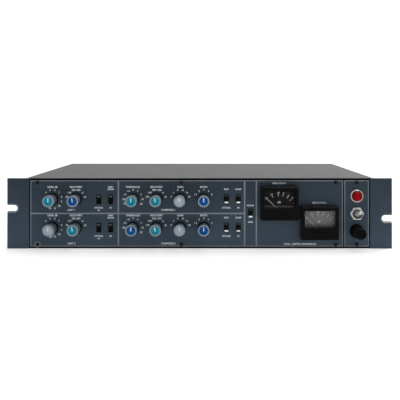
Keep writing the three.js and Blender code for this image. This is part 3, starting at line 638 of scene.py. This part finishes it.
def knob_shape(winged):
    """The body, pointing up: a tapered disc, with a narrow wing set a little back if it has one."""
    shape = bmesh.new()
    bmesh.ops.create_circle(shape, cap_ends=True, segments=80, radius=KNOB_RADIUS)
    bmesh.ops.translate(shape, vec=(0, 0, KNOB_REAR), verts=shape.verts)
    rear = list(shape.verts)
    made = bmesh.ops.extrude_face_region(shape, geom=list(shape.faces))["geom"]
    front = [v for v in made if isinstance(v, bmesh.types.BMVert)]
    bmesh.ops.translate(shape, vec=(0, 0, KNOB_FRONT - KNOB_REAR), verts=front)
    bmesh.ops.scale(shape, vec=(KNOB_REAR_SHARE, KNOB_REAR_SHARE, 1), verts=rear)
    bmesh.ops.recalc_face_normals(shape, faces=shape.faces)
    rim = [e for e in shape.edges if all(v.co.z > KNOB_FRONT - 0.01 * MM for v in e.verts)]
    soften(shape, rim, 0.5 * MM, 3)
    rim = [e for e in shape.edges if all(v.co.z < KNOB_REAR + 0.01 * MM for v in e.verts)]
    soften(shape, rim, 0.3 * MM, 2)
    top = max(shape.faces, key=lambda f: f.calc_center_median().z)
    bmesh.ops.inset_region(shape, faces=[top], thickness=0.5 * MM, use_even_offset=True)
    for vert in top.verts:
        flat = Vector((vert.co.x, vert.co.y, 0)).normalized() * CAP_RADIUS
        vert.co = (flat.x, flat.y, vert.co.z)
    sunk = bmesh.ops.extrude_face_region(shape, geom=[top])["geom"]
    bmesh.ops.delete(shape, geom=[top], context="FACES_ONLY")
    moved = [v for v in sunk if isinstance(v, bmesh.types.BMVert)]
    bmesh.ops.translate(shape, vec=(0, 0, -CAP_DEPTH), verts=moved)
    bmesh.ops.recalc_face_normals(shape, faces=shape.faces)
    for face in shape.faces:
        face.material_index = 1 if face.calc_center_median().z > KNOB_FRONT - 1 * MM else 0
    if winged:
        wing = plate(
            [
                (-WING_ROOT_HALF, KNOB_RADIUS - 1.4 * MM),
                (WING_ROOT_HALF, KNOB_RADIUS - 1.4 * MM),
                (WING_TIP_HALF, WING_TIP),
                (-WING_TIP_HALF, WING_TIP),
            ],
            KNOB_FRONT - KNOB_REAR - 3 * MM,
        )
        bmesh.ops.translate(wing, vec=(0, 0, KNOB_FRONT - WING_SET_BACK), verts=wing.verts)
        soften(wing, wing.edges, 0.35 * MM)
        for face in wing.faces:
            face.material_index = 2
        put(shape, wing)
    return shape


def cap_shape():
    """A thin moulded disc that snaps into the knob's face, dished a little towards its middle."""
    edge = KNOB_FRONT + 0.35 * MM
    floor_height = KNOB_FRONT - CAP_DEPTH + 0.1 * MM
    shape = turned(
        [
            (0, floor_height),
            (CAP_RADIUS - 0.12 * MM, floor_height),
            (CAP_RADIUS - 0.12 * MM, edge - 0.3 * MM),
            (CAP_RADIUS - 0.4 * MM, edge),
            (CAP_RADIUS - 0.8 * MM, edge),
            (CAP_RADIUS - 1.2 * MM, edge - 0.15 * MM),
            (0, edge - 0.2 * MM),
        ],
        48,
    )
    line_low = (-0.55 * MM, -0.8 * MM, edge - 0.25 * MM)
    put(shape, block(line_low, (0.55 * MM, 4.4 * MM, edge + 0.02 * MM), 0.05 * MM), material=1)
    return shape


def hexagon(across_flats, height, edge):
    """A six-sided nut standing on local Z = 0, with a point to the side."""
    radius = across_flats / 2 / math.cos(math.pi / 6)
    outline = [(radius * math.cos(i * math.pi / 3), radius * math.sin(i * math.pi / 3)) for i in range(6)]
    shape = plate(outline, height)
    bmesh.ops.translate(shape, vec=(0, 0, height), verts=shape.verts)
    soften(shape, shape.edges, edge)
    return shape


rod = [(0, SHAFT_REAR), (SHAFT_RADIUS, SHAFT_REAR), (SHAFT_RADIUS, SHAFT_FRONT), (0, SHAFT_FRONT)]
washer = in_mm([(5, 0.02), (7.4, 0.02), (7.6, 0.3), (7.4, 0.5), (5, 0.5)])
nuts = bmesh.new()
for name, (_, _, _, settings) in CONTROLS.items():
    for channel, (pointer, colour, winged) in zip("12", settings):
        body = f"{name}_knob_{channel}"
        x, z = axis_of(f"{name}_turn_{channel}")
        knob = bmesh.new()
        put(knob, knob_shape(winged), facing(x, z, turn=pointer))
        piece(f"{body}_body", knob, [knob_side_painted_shade, knob_face, knob_wing], body, [body])
        cap = bmesh.new()
        put(cap, cap_shape(), facing(x, z, turn=0 if winged else pointer))
        piece(f"{body}_cap", cap, [cap_materials[colour], cap_line], body)
        shaft = bmesh.new()
        put(shaft, turned(rod, 24), facing(x, z))
        piece(f"{body}_shaft", shaft, [steel], body)
        put(nuts, turned(washer, 32, closed=True), facing(x, z))
        put(nuts, hexagon(12 * MM, 2.1 * MM, 0.3 * MM), facing(x, z, FACE - 0.5 * MM, turn=NUT_TURN))
piece("control_nuts", nuts, [black_nut], "chassis")

# ---------------------------------------------------------------- rocker switches
# Moulded black rockers that pivot just behind the panel, in openings without bezels. The compressor's and the
# link's have a white lower end, which shows when they are switched in.

ROCKER_HALF_WIDTH = 2.35 * MM
ROCKER_HALF_HEIGHT = 3.4 * MM
ROCKER_END = 2.8 * MM
ROCKER_END_ANGLE = math.radians(48)
ROCKER_THROW = math.radians(12)
ROCKER_PROUD = 2.2 * MM
ROCKER_PIVOT = 1 * MM
white_abs = moulded("white_rocker_end", "f6f7f5", "ffffff", (0.35, 0.5))
# Grey for the rockers' upper end faces: a painted highlight on the black plastic.
rocker_end_painted_highlight = moulded("grey_rocker_end_painted_highlight", "53585b", "62676a", (0.4, 0.5), Specular_IOR_Level=0.3)


def rocker_shape(white_end):
    """A level rocker about its pivot: two faces that lean out to their ends, and ends that turn back. The
    upper end is painted grey, as a highlight where light from above falls on it."""
    edge = ROCKER_PROUD + ROCKER_HALF_HEIGHT * math.tan(ROCKER_THROW)
    heel = (
        ROCKER_HALF_HEIGHT + math.cos(ROCKER_END_ANGLE) * ROCKER_END,
        edge - math.sin(ROCKER_END_ANGLE) * ROCKER_END,
    )
    upper = [(ROCKER_HALF_HEIGHT, edge), heel, (2.4 * MM, -3.2 * MM)]
    profile = [(0, ROCKER_PROUD), *upper, *[(-a, b) for a, b in reversed(upper)]]
    shape = bmesh.new()
    side = shape.faces.new([shape.verts.new((-ROCKER_HALF_WIDTH, a, b)) for a, b in profile])
    across = bmesh.ops.extrude_face_region(shape, geom=[side])["geom"]
    moved = [v for v in across if isinstance(v, bmesh.types.BMVert)]
    bmesh.ops.translate(shape, vec=(2 * ROCKER_HALF_WIDTH, 0, 0), verts=moved)
    bmesh.ops.recalc_face_normals(shape, faces=shape.faces)
    for face in shape.faces:
        middle = face.calc_center_median()
        on_end = abs(middle.y) > ROCKER_HALF_HEIGHT and middle.z > heel[1] - 0.01 * MM
        # The upper end face takes the grey of the painted highlight.
        if on_end and middle.y > 0:
            face.material_index = 2
        elif on_end and white_end:
            face.material_index = 1
    soften(shape, shape.edges, 0.22 * MM)
    return shape


def tipped(x, y, z, angle):
    """From a shape's own axes to a place on the front, tipped about its pivot."""
    upright = Matrix.Rotation(math.radians(90), 4, "X")
    return Matrix.Translation((x, y, z)) @ Matrix.Rotation(angle, 4, "X") @ upright


rockers = []
for name, switched_in in (
    ("limit_attack", False), ("limit_in", False), ("compress_attack", True), ("compress_in", True)
):
    rockers += [(f"{name}_rocker_{c}", f"{name}_rock_{c}", switched_in) for c in "12"]
rockers.append(("stereo_link_rocker", "stereo_link_rock", True))
for body, joint, switched_in in rockers:
    x, z = axis_of(joint)
    place = tipped(x, FACE + ROCKER_PIVOT, z, -ROCKER_THROW if switched_in else ROCKER_THROW)
    rocker = bmesh.new()
    put(rocker, rocker_shape(switched_in), place)
    rocker_materials = [black_abs, white_abs, rocker_end_painted_highlight]
    piece(f"{body}_moulding", rocker, rocker_materials, body, [body], smooth=25)

# ---------------------------------------------------------------- meters
# Two moving-coil meters in black cases. Each has a printed dial, a white needle on a pivot that the cover's
# lower part hides, and a clear pane behind the cover's window. A slotted screw sets the needle's zero.

PIVOT_HEIGHT = 12 * MM
COVER_FRONT = 10.6 * MM
COVER_THICKNESS = 1.4 * MM
WINDOW_SIDE = 4.4 * MM
WINDOW_TOP = 5.2 * MM
WINDOW_BOTTOM = 15.7 * MM
NEEDLE_REST = -47
PANE_INSET = 3 * MM
ZERO_SCREW_RISE = 6 * MM
ZERO_SCREW_TURN = 35
TICK = (17.6 * MM, 20 * MM)
FIGURE_REACH = 21.6 * MM
OUTER_FIGURE_REACH = 22.3 * MM

meter_black = moulded("polished_black_abs", "08080a", "0b0b0d", (0.2, 0.3), Specular_IOR_Level=0.3)
# Clear acrylic: smooth and see-through, with only a faint dark tint.
pane = coated(
    "clear_acrylic_pane", "0c0d0d", "101111", 30 * MM, 2 * MM, 0.001 * MM, (0.03, 0.08), Alpha=0.12
)[0]
# Printed card, quite matt. The lower meter's is much paler than the upper one's.
dial_dark = coated("black_dial_card", "202022", "28282a", 15 * MM, 0.4 * MM, 0.01 * MM, (0.6, 0.8))[0]
dial_grey = coated("faded_dial_card", "989a9b", "a0a2a3", 15 * MM, 0.4 * MM, 0.01 * MM, (0.6, 0.8))[0]
dial_ink = coated("dial_ink", "eceeee", "fafbfb", 2 * MM, 0.3 * MM, 0.01 * MM, (0.5, 0.7))[0]
dial_grey_band = coated("dial_band_ink", "9a9c9c", "a6a8a8", 4 * MM, 0.4 * MM, 0.01 * MM, (0.5, 0.7))[0]
needle_white = coated("white_needle_enamel", "dcdcd8", "ecece8", 3 * MM, 0.3 * MM, 0.01 * MM, (0.35, 0.5))[0]


def cover_shape(width, height):
    """The cover's front: a frame about a window, with a deep lower part and a rounded rim."""
    w, h = width / 2, height / 2
    outer = [(-w, -h), (w, -h), (w, h), (-w, h)]
    left, right = -w + WINDOW_SIDE, w - WINDOW_SIDE
    low, high = -h + WINDOW_BOTTOM, h - WINDOW_TOP
    inner = [(left, low), (right, low), (right, high), (left, high)]
    shape = bmesh.new()
    rim = [shape.verts.new((x, y, -COVER_THICKNESS)) for x, y in outer]
    hole = [shape.verts.new((x, y, -COVER_THICKNESS)) for x, y in inner]
    ring = [shape.faces.new((rim[i], rim[(i + 1) % 4], hole[(i + 1) % 4], hole[i])) for i in range(4)]
    raised = bmesh.ops.extrude_face_region(shape, geom=ring)["geom"]
    moved = [v for v in raised if isinstance(v, bmesh.types.BMVert)]
    bmesh.ops.translate(shape, vec=(0, 0, COVER_THICKNESS), verts=moved)
    bmesh.ops.recalc_face_normals(shape, faces=shape.faces)
    square = [e for e in shape.edges if e.is_manifold and e.calc_face_angle(0) > 1]
    soften(shape, square, 0.6 * MM, 3)
    return shape


for channel, dial_card in (("1", dial_dark), ("2", dial_grey)):
    low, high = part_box(f"meter_case_{channel}")
    x, z = (low.x + high.x) / 2, (low.z + high.z) / 2
    width, height = high.x - low.x, high.z - low.z
    dress(f"meter_case_{channel}", meter_black, 0.5 * MM)
    cover = bmesh.new()
    put(cover, cover_shape(width - 0.3 * MM, height - 0.3 * MM), facing(x, z, FACE - COVER_FRONT))
    screw_z, screw_y = z - height / 2 + ZERO_SCREW_RISE, FACE - COVER_FRONT + 0.3 * MM
    zero_screw = turned(in_mm([(0, 0), (1.9, 0), (1.9, 0.5), (1.5, 0.8), (0, 0.8)]), 24)
    put(cover, zero_screw, facing(x, screw_z, screw_y))
    # A bar that stands 0.03 mm proud takes the place of the slot.
    slot_bar = block((-1.5 * MM, -0.2 * MM, 0.4 * MM), (1.5 * MM, 0.2 * MM, 0.83 * MM), 0)
    put(cover, slot_bar, facing(x, screw_z, screw_y, ZERO_SCREW_TURN))
    piece(f"meter_cover_{channel}", cover, [meter_black], "chassis")

    clear = bmesh.new()
    half_pane = (width / 2 - PANE_INSET, height / 2 - PANE_INSET)
    put(clear, block((-half_pane[0], -half_pane[1], 8 * MM), (*half_pane, 9 * MM), 0.1 * MM), facing(x, z))
    window = f"meter_window_{channel}"
    piece(f"meter_pane_{channel}", clear, [pane], "chassis", [window])

    dress(f"meter_dial_{channel}", dial_card, 0.1 * MM)
    card_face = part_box(f"meter_dial_{channel}")[0].y - 0.05 * MM
    pivot = z - height / 2 + PIVOT_HEIGHT
    print_shape = bmesh.new()
    for angle, figure in ((-47, "20"), (-26, "15"), (-3, "10"), (15, "5"), (33, "2"), (48, "0")):
        turn = math.radians(angle)
        tick = block((-0.4 * MM, TICK[0], 0), (0.4 * MM, TICK[1], 0.04 * MM), 0)
        put(print_shape, tick, facing(x, pivot, card_face, angle))
        reach = FIGURE_REACH if angle < 40 else OUTER_FIGURE_REACH
        place = facing(x + reach * math.sin(turn), pivot + reach * math.cos(turn), card_face)
        put(print_shape, words(figure, 2.3 * MM, place))
    put(print_shape, words("dB", 2.6 * MM, facing(x, pivot + 9.7 * MM, card_face)))
    piece(f"meter_dial_print_{channel}", print_shape, [dial_ink], "chassis")
    band = block((-19 * MM, 3.4 * MM, 0), (19 * MM, 5.4 * MM, 0.04 * MM), 0)
    band.transform(facing(x, pivot, card_face))
    piece(f"meter_dial_band_{channel}", band, [dial_grey_band], "chassis")

    body = f"meter_needle_{channel}"
    needle_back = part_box(body)[1].y
    blade = in_mm([(-0.55, -5), (0.55, -5), (0.45, 14), (0.3, 22), (-0.3, 22), (-0.45, 14)])
    hub = in_mm([(0, -1.2), (1.8, -1.2), (2, -0.9), (2, 0.6), (1.6, 0.9), (0, 0.9)])
    pointer = bmesh.new()
    put(pointer, plate(blade, 0.35 * MM), facing(x, pivot, needle_back - 0.5 * MM, NEEDLE_REST))
    put(pointer, turned(hub, 24), facing(x, pivot, needle_back - 1.2 * MM, NEEDLE_REST))
    piece(f"{body}_pointer", pointer, [needle_white], body, [body])

# ---------------------------------------------------------------- lamp, power switch and fuse
# A red lamp in a chromed bezel, a toggle switch with a bright nut, a brass collar and a bat-shaped lever, and
# a fuse in a black holder whose cap pulls out with it. All three pass through the power panel.

# Chrome plate with a haze of age over it, so it shines less deeply than a mirror does.
chrome = coated(
    "bright_chrome", "f0f1f2", "fbfcfc", 4 * MM, 0.5 * MM, 0.004 * MM, (0.14, 0.24), Metallic=0.45
)[0]
# Ruby glass: deep red and glossy.
red_glass = coated(
    "ruby_lens", "7e0003", "a00206", 5 * MM, 1.2 * MM, 0.05 * MM, (0.06, 0.14), Specular_IOR_Level=0.3
)[0]
# Nickel plate, paler and softer than the chrome.
polished = coated(
    "polished_nickel", "f2f3f4", "ffffff", 4 * MM, 0.5 * MM, 0.004 * MM, (0.2, 0.3), Metallic=0.2
)[0]
# Brass worn through its plating: brown, with dull gold patches.
collar_brass = coated(
    "tarnished_brass", "6b5a3a", "8f7c56", 2 * MM, 0.4 * MM, 0.02 * MM, (0.25, 0.4), Metallic=0.9
)[0]

lamp_low, lamp_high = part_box("lamp_bezel")
lamp_x, lamp_z = (lamp_low.x + lamp_high.x) / 2, (lamp_low.z + lamp_high.z) / 2
bezel = bmesh.new()
profile = [
    (6.6, -23.8), (6.6, 2.4), (6.8, 3.0), (7.2, 3.1), (7.8, 2.6), (8.1, 1.8), (8.1, 0.3), (7.2, 0.3),
    (7.2, -23.8),
]
put(bezel, turned(in_mm(profile), 48, closed=True), facing(lamp_x, lamp_z))
piece("lamp_bezel_turned", bezel, [chrome], "chassis", ["lamp_bezel"])
lens = bmesh.new()
dome = [(6.4 * math.sin(math.radians(a)), 3 + 4 * math.cos(math.radians(a))) for a in range(0, 91, 10)]
dome += [(6.4, -8), (5.4, -8), (5.4, 2), (0, 4.2)]
put(lens, turned(in_mm(dome), 48), facing(lamp_x, lamp_z))
piece("lamp_lens_dome", lens, [red_glass], "chassis", ["lamp_lens"])

nut_low, nut_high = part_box("power_switch_nut")
switch_x, switch_z = (nut_low.x + nut_high.x) / 2, (nut_low.z + nut_high.z) / 2
dress("power_switch_body", steel, 0.3 * MM)
nut = bmesh.new()
put(nut, hexagon(15 * MM, 2.6 * MM, 0.45 * MM), facing(switch_x, switch_z, FACE - 0.3 * MM))
collar = [(3.9, 2.6), (5.8, 2.6), (5.8, 6.6), (5.3, 7.1), (3.9, 7.1)]
put(nut, turned(in_mm(collar), 40, closed=True), facing(switch_x, switch_z), 1)
nut_materials = [polished, collar_brass]
piece("power_switch_nut_hexagon", nut, nut_materials, "chassis", ["power_switch_nut"])
LEVER_PIVOT = 3 * MM
LEVER_THROW = math.radians(12)
lever = bmesh.new()
bat = [
    (0, 17), (1.2, 16.85), (2.0, 16.2), (2.45, 15), (2.5, 13.6), (2.1, 9), (1.6, 3), (1.5, -1.5), (0, -1.5),
]
put(lever, turned(in_mm(bat), 32), tipped(switch_x, FACE - LEVER_PIVOT, switch_z, -LEVER_THROW))
piece("power_switch_lever_bat", lever, [chrome], "power_switch_lever", ["power_switch_lever"])

fuse_low, fuse_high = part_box("fuse_cap")
fuse_x, fuse_z = (fuse_low.x + fuse_high.x) / 2, (fuse_low.z + fuse_high.z) / 2
holder = bmesh.new()
profile = [
    (4.2, -29.5), (4.2, 2.2), (4.6, 2.6), (8.2, 2.6), (8.8, 2.0), (8.8, 0.3), (6.2, 0.3), (6.2, -35.5),
    (0, -35.5), (0, -29.5),
]
put(holder, turned(in_mm(profile), 48), facing(fuse_x, fuse_z))
piece("fuse_holder_moulding", holder, [black_abs], "chassis", ["fuse_holder"])
cap_shell = bmesh.new()
profile = [
    (0, 22.4), (4.6, 22.4), (5.2, 23.0), (6.2, 23.0), (6.9, 22.3), (6.9, 3.0), (3.8, 3.0), (3.8, -3.9),
    (2.9, -3.9), (2.9, 8.6), (0, 8.6),
]
put(cap_shell, turned(in_mm(profile), 48), facing(fuse_x, fuse_z))
RIBS = 16
for i in range(RIBS):
    rib = block((-0.45 * MM, 6.6 * MM, 5 * MM), (0.45 * MM, 7.15 * MM, 21.5 * MM), 0.18 * MM)
    put(cap_shell, rib, facing(fuse_x, fuse_z, turn=360 / RIBS * i))
piece("fuse_cap_ribbed", cap_shell, [black_abs], "fuse_cap", ["fuse_cap"])
tube_low, tube_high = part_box("fuse_cartridge")
# Clear glass tube: smooth, with a pale green cast.
glass = coated("fuse_glass", "e2e8e8", "f2f6f6", 10 * MM, 1 * MM, 0.002 * MM, (0.03, 0.08), Alpha=0.25)[0]
cartridge = bmesh.new()
length = (tube_high.y - tube_low.y) / MM
END_CAP = 5
glass_tube = [(2.2, 0.4), (2.45, 0.4), (2.45, length - 0.4), (2.2, length - 0.4)]
into = facing(fuse_x, fuse_z, tube_high.y)
put(cartridge, turned(in_mm(glass_tube), 24, closed=True), into, 0)
for start in (0, length - END_CAP):
    end = start + END_CAP
    end_cap = [(0, start), (2.4, start), (2.6, start + 0.3), (2.6, start + 4.7), (2.4, end), (0, end)]
    put(cartridge, turned(in_mm(end_cap), 24), into, 1)
wire = [(0, 4), (0.12, 4), (0.12, length - 4), (0, length - 4)]
put(cartridge, turned(in_mm(wire), 8), into, 1)
piece("fuse_cartridge_glass", cartridge, [glass, steel], "fuse_cap", ["fuse_cartridge"])

# ---------------------------------------------------------------- screws
# Eight dark screws hold the panels to the rails, one of them on a pale loose washer. The ears' legs, the side
# plates and the covers' rear edges have plated ones. Each head is a disc with raised sectors on either side of
# its slots.

# Steel darkened with oil: brown-black, with rubbed patches.
brown_head = coated(
    "oiled_screw_head", "2a2420", "43372b", 1.2 * MM, 0.3 * MM, 0.02 * MM, (0.3, 0.5), Metallic=0.5
)[0]
# Zinc-plated steel: grey with a slight yellow cast.
plated_head = coated(
    "plated_screw_head", "8e9088", "a8aaa2", 1.2 * MM, 0.3 * MM, 0.02 * MM, (0.25, 0.4), Metallic=0.9
)[0]


def screw_head(radius, height, slots):
    """A head on local Z = 0 with one slot or two that cross."""
    rise = 0.35 * height
    shape = turned([(0, -0.2 * MM), (radius, -0.2 * MM), (radius, rise), (0, rise)], 24)
    gap = 0.13 * radius
    share = math.pi / slots
    start = math.asin(gap / radius)
    for i in range(2 * slots):
        bends = [start + (share - 2 * start) * j / 10 for j in range(11)]
        outline = [(radius * math.cos(a), radius * math.sin(a)) for a in bends]
        if slots == 2:
            outline.append((gap, gap))
        sector = plate(outline, height - rise * 0.5)
        soften(sector, [e for e in sector.edges if all(v.co.z > -0.01 * MM for v in e.verts)], 0.12 * MM)
        turn = Matrix.Rotation(i * share, 4, "Z")
        put(shape, sector, Matrix.Translation((0, 0, height)) @ turn)
    return shape


PANEL_SCREW_INSET = 3.3 * MM
CORNER_SCREW = 9.2 * MM
LEG_SCREW = 20 * MM
panel_screws = bmesh.new()
compress_middle = (limit_end + compress_end) / 2
screw_rows = (panel_low.z + PANEL_SCREW_INSET, panel_high.z - PANEL_SCREW_INSET)
panel_xs = (panel_low.x + CORNER_SCREW, compress_middle, panel_high.x - CORNER_SCREW, switch_x)
for i, x in enumerate(panel_xs):
    for j, z in enumerate(screw_rows):
        put(panel_screws, screw_head(2.3 * MM, 1.2 * MM, 2), facing(x, z, turn=23 * i + 51 * j))
piece("panel_screws", panel_screws, [brown_head], "chassis")
loose_washer = bmesh.new()
ring = turned(in_mm([(2.6, 0), (3.7, 0), (3.7, 0.35), (2.6, 0.35)]), 32, closed=True)
put(loose_washer, ring, facing(panel_xs[0], screw_rows[0], FACE - 0.02 * MM))
# The washer is drawn in the printed lines' pale grey, not as bare metal.
piece("lower_left_washer", loose_washer, [line_ink], "chassis")

case_screws = bmesh.new()
side_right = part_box("side_plate_right")[1].x
rear_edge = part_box("side_plate_left")[1].y
for heading, leg_x, wall_x in ((-90, leg_face, side_left), (90, -leg_face, side_right)):
    for z in (20 * MM, 68 * MM):
        put(case_screws, screw_head(3.2 * MM, 1.6 * MM, 2), facing(leg_x, z, FACE + LEG_SCREW, 30, heading))
        for y in (FACE + 60 * MM, rear_edge - 12 * MM):
            put(case_screws, screw_head(2.8 * MM, 1.5 * MM, 2), facing(wall_x, z, y, 15, heading))
cover_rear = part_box("top_cover")[1].y
for x in (-180 * MM, -60 * MM, 60 * MM, 180 * MM):
    for z in (2 * MIDDLE - 4 * MM, 4 * MM):
        put(case_screws, screw_head(2.6 * MM, 1.4 * MM, 2), facing(x, z, cover_rear, 40, 180))
piece("case_screws", case_screws, [plated_head], "chassis")

# ---------------------------------------------------------------- rear connectors
# Two sockets for the inputs and two plugs for the outputs, each in a flanged shell held by two screws, with
# plated contacts. A mains inlet with three flat pins is on the other side of the rear panel.

# Silver plate: bright, with a slight yellow tarnish.
silver = coated(
    "silvered_contact", "b9bab4", "d2d3cd", 1 * MM, 0.3 * MM, 0.01 * MM, (0.15, 0.3), Metallic=1.0
)[0]
connector_screws = bmesh.new()
contacts = bmesh.new()
rear_letters = bmesh.new()
PIN_CIRCLE = 3.9 * MM
LABEL_HEIGHT = 3 * MM
LABEL_RISE = 22 * MM
panel_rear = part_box("rear_panel")[1].y
collar = in_mm([(8.5, -0.1), (8.5, 0.7), (9.1, 1.0), (10.6, 1.0), (11.2, 0.6), (11.2, -0.1)])
plug_pin = in_mm([(1.28, -14), (1.28, -2.6), (0.9, -1.8), (0, -1.6)])
socket_ring = in_mm([(1.05, -0.3), (1.6, -0.3), (1.6, 0.12), (1.05, 0.12), (1.05, -0.3)])
for node, label in (
    ("input_socket_1", "INPUT 1"),
    ("input_socket_2", "INPUT 2"),
    ("output_plug_1", "OUTPUT 1"),
    ("output_plug_2", "OUTPUT 2"),
):
    dress(node, black_abs, 0.3 * MM)
    low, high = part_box(node)
    x, z, back = (low.x + high.x) / 2, (low.z + high.z) / 2, high.y
    contact = plug_pin if "plug" in node else socket_ring
    if "plug" in node:
        put(contacts, turned(collar, 40, closed=True), facing(x, z, back, heading=180))
    for angle in (90, 210, 330):
        a = math.radians(angle)
        px, pz = x + PIN_CIRCLE * math.cos(a), z - PIN_CIRCLE * math.sin(a)
        put(contacts, turned(contact, 20), facing(px, pz, back, heading=180))
    for dx, dz in ((-10 * MM, 12.5 * MM), (10 * MM, -12.5 * MM)):
        put(connector_screws, screw_head(2.3 * MM, 1.2 * MM, 2), facing(x + dx, z + dz, back, 20, 180))
    label_place = facing(x, z + LABEL_RISE, panel_rear + INK, heading=180)
    put(rear_letters, words(label, LABEL_HEIGHT, label_place))

INLET_PIN_STEP = 7 * MM
dress("mains_inlet", black_abs, 0.3 * MM)
low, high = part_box("mains_inlet")
inlet_x, inlet_z, back = (low.x + high.x) / 2, (low.z + high.z) / 2, high.y
for dx in (-20 * MM, 20 * MM):
    put(connector_screws, screw_head(2.6 * MM, 1.3 * MM, 2), facing(inlet_x + dx, inlet_z, back, 65, 180))
for i in (-1, 0, 1):
    drop = -2 * MM if i else 2 * MM
    low_corner = (-1.08 * MM, -2.18 * MM, -16.4 * MM)
    blade = block(low_corner, (1.08 * MM, 2.18 * MM, -3.9 * MM), 0.35 * MM)
    put(contacts, blade, facing(inlet_x + INLET_PIN_STEP * i, inlet_z + drop, back, heading=180))
label_place = facing(inlet_x, inlet_z + LABEL_RISE, panel_rear + INK, heading=180)
put(rear_letters, words("MAINS", LABEL_HEIGHT, label_place))
piece("connector_contacts", contacts, [silver], "chassis")
piece("connector_screws", connector_screws, [plated_head], "chassis")
piece("rear_lettering", rear_letters, [letter_ink], "chassis")

# ---------------------------------------------------------------- inside
# A control board carries the rotary switches and the rockers' housings. A main board carries four screened
# audio transformers and its capacitors. The mains transformer stands beside it on the bottom cover.

# Green glass-fibre laminate. What stands in front of the control board is black: bushes and rocker housings.
laminate, tree, shader, coords, tone = coated(
    "green_laminate", "1d4a2c", "2c6040", 8 * MM, 0.5 * MM, 0.01 * MM, (0.3, 0.45)
)
depth_in = add_node(tree, "ShaderNodeSeparateXYZ", {"Vector": coords}).outputs["Y"]
board_front = FACE + 27 * MM
is_board = add_node(
    tree,
    "ShaderNodeMapRange",
    {"Value": depth_in, "From Min": board_front - 0.2 * MM, "From Max": board_front},
).outputs["Result"]
board_colour = add_node(tree, "ShaderNodeMix", {0: is_board, 6: linear("050506"), 7: tone}, data_type="RGBA")
tree.links.new(board_colour.outputs[2], shader.inputs["Base Color"])
# Tin-plated steel cans: pale grey and softly reflective.
tinned = coated("tinned_can", "a0a29d", "b6b8b2", 12 * MM, 0.6 * MM, 0.02 * MM, (0.25, 0.4), Metallic=0.9)[0]

# Varnished laminations: thin dark stripes across the core, one to each stamping.
core_iron, tree, shader, coords, tone = coated(
    "varnished_laminations", "4a4643", "5c5855", 10 * MM, 0.5 * MM, 0.02 * MM, (0.4, 0.6), Metallic=0.5
)
stripes = add_node(
    tree, "ShaderNodeTexWave", {"Vector": coords, "Scale": 1 / (3 * MM)}, bands_direction="Y"
).outputs["Fac"]
layered = add_node(tree, "ShaderNodeMix", {0: stripes, 6: tone, 7: linear("2a2725")}, data_type="RGBA")
tree.links.new(layered.outputs[2], shader.inputs["Base Color"])

dress("control_board", laminate, 0.1 * MM)
dress("main_board", laminate, 0.1 * MM)
for node in ("input_transformer_1", "input_transformer_2", "output_transformer_1", "output_transformer_2"):
    dress(node, tinned, 0.8 * MM)
dress("mains_transformer", core_iron, 0.6 * MM)

sleeve = moulded("capacitor_sleeve", "12202e", "1b2c3e", (0.3, 0.42))
capacitors = bmesh.new()
board_low, board_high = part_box("main_board")
can = in_mm([(0, 0), (4, 0), (4, 1), (3.7, 1.3), (3.7, 1.7), (4, 2), (4, 15.2), (3.6, 15.7), (0, 15.7)])
CAPACITORS_IN_ROW = 9
for i in range(CAPACITORS_IN_ROW):
    for y in (board_low.y + 12 * MM, board_low.y + 30 * MM):
        x = board_low.x + (18 + 27 * i) * MM
        put(capacitors, turned(can, 24), Matrix.Translation((x, y, board_high.z)))
piece("capacitors", capacitors, [sleeve], "chassis")
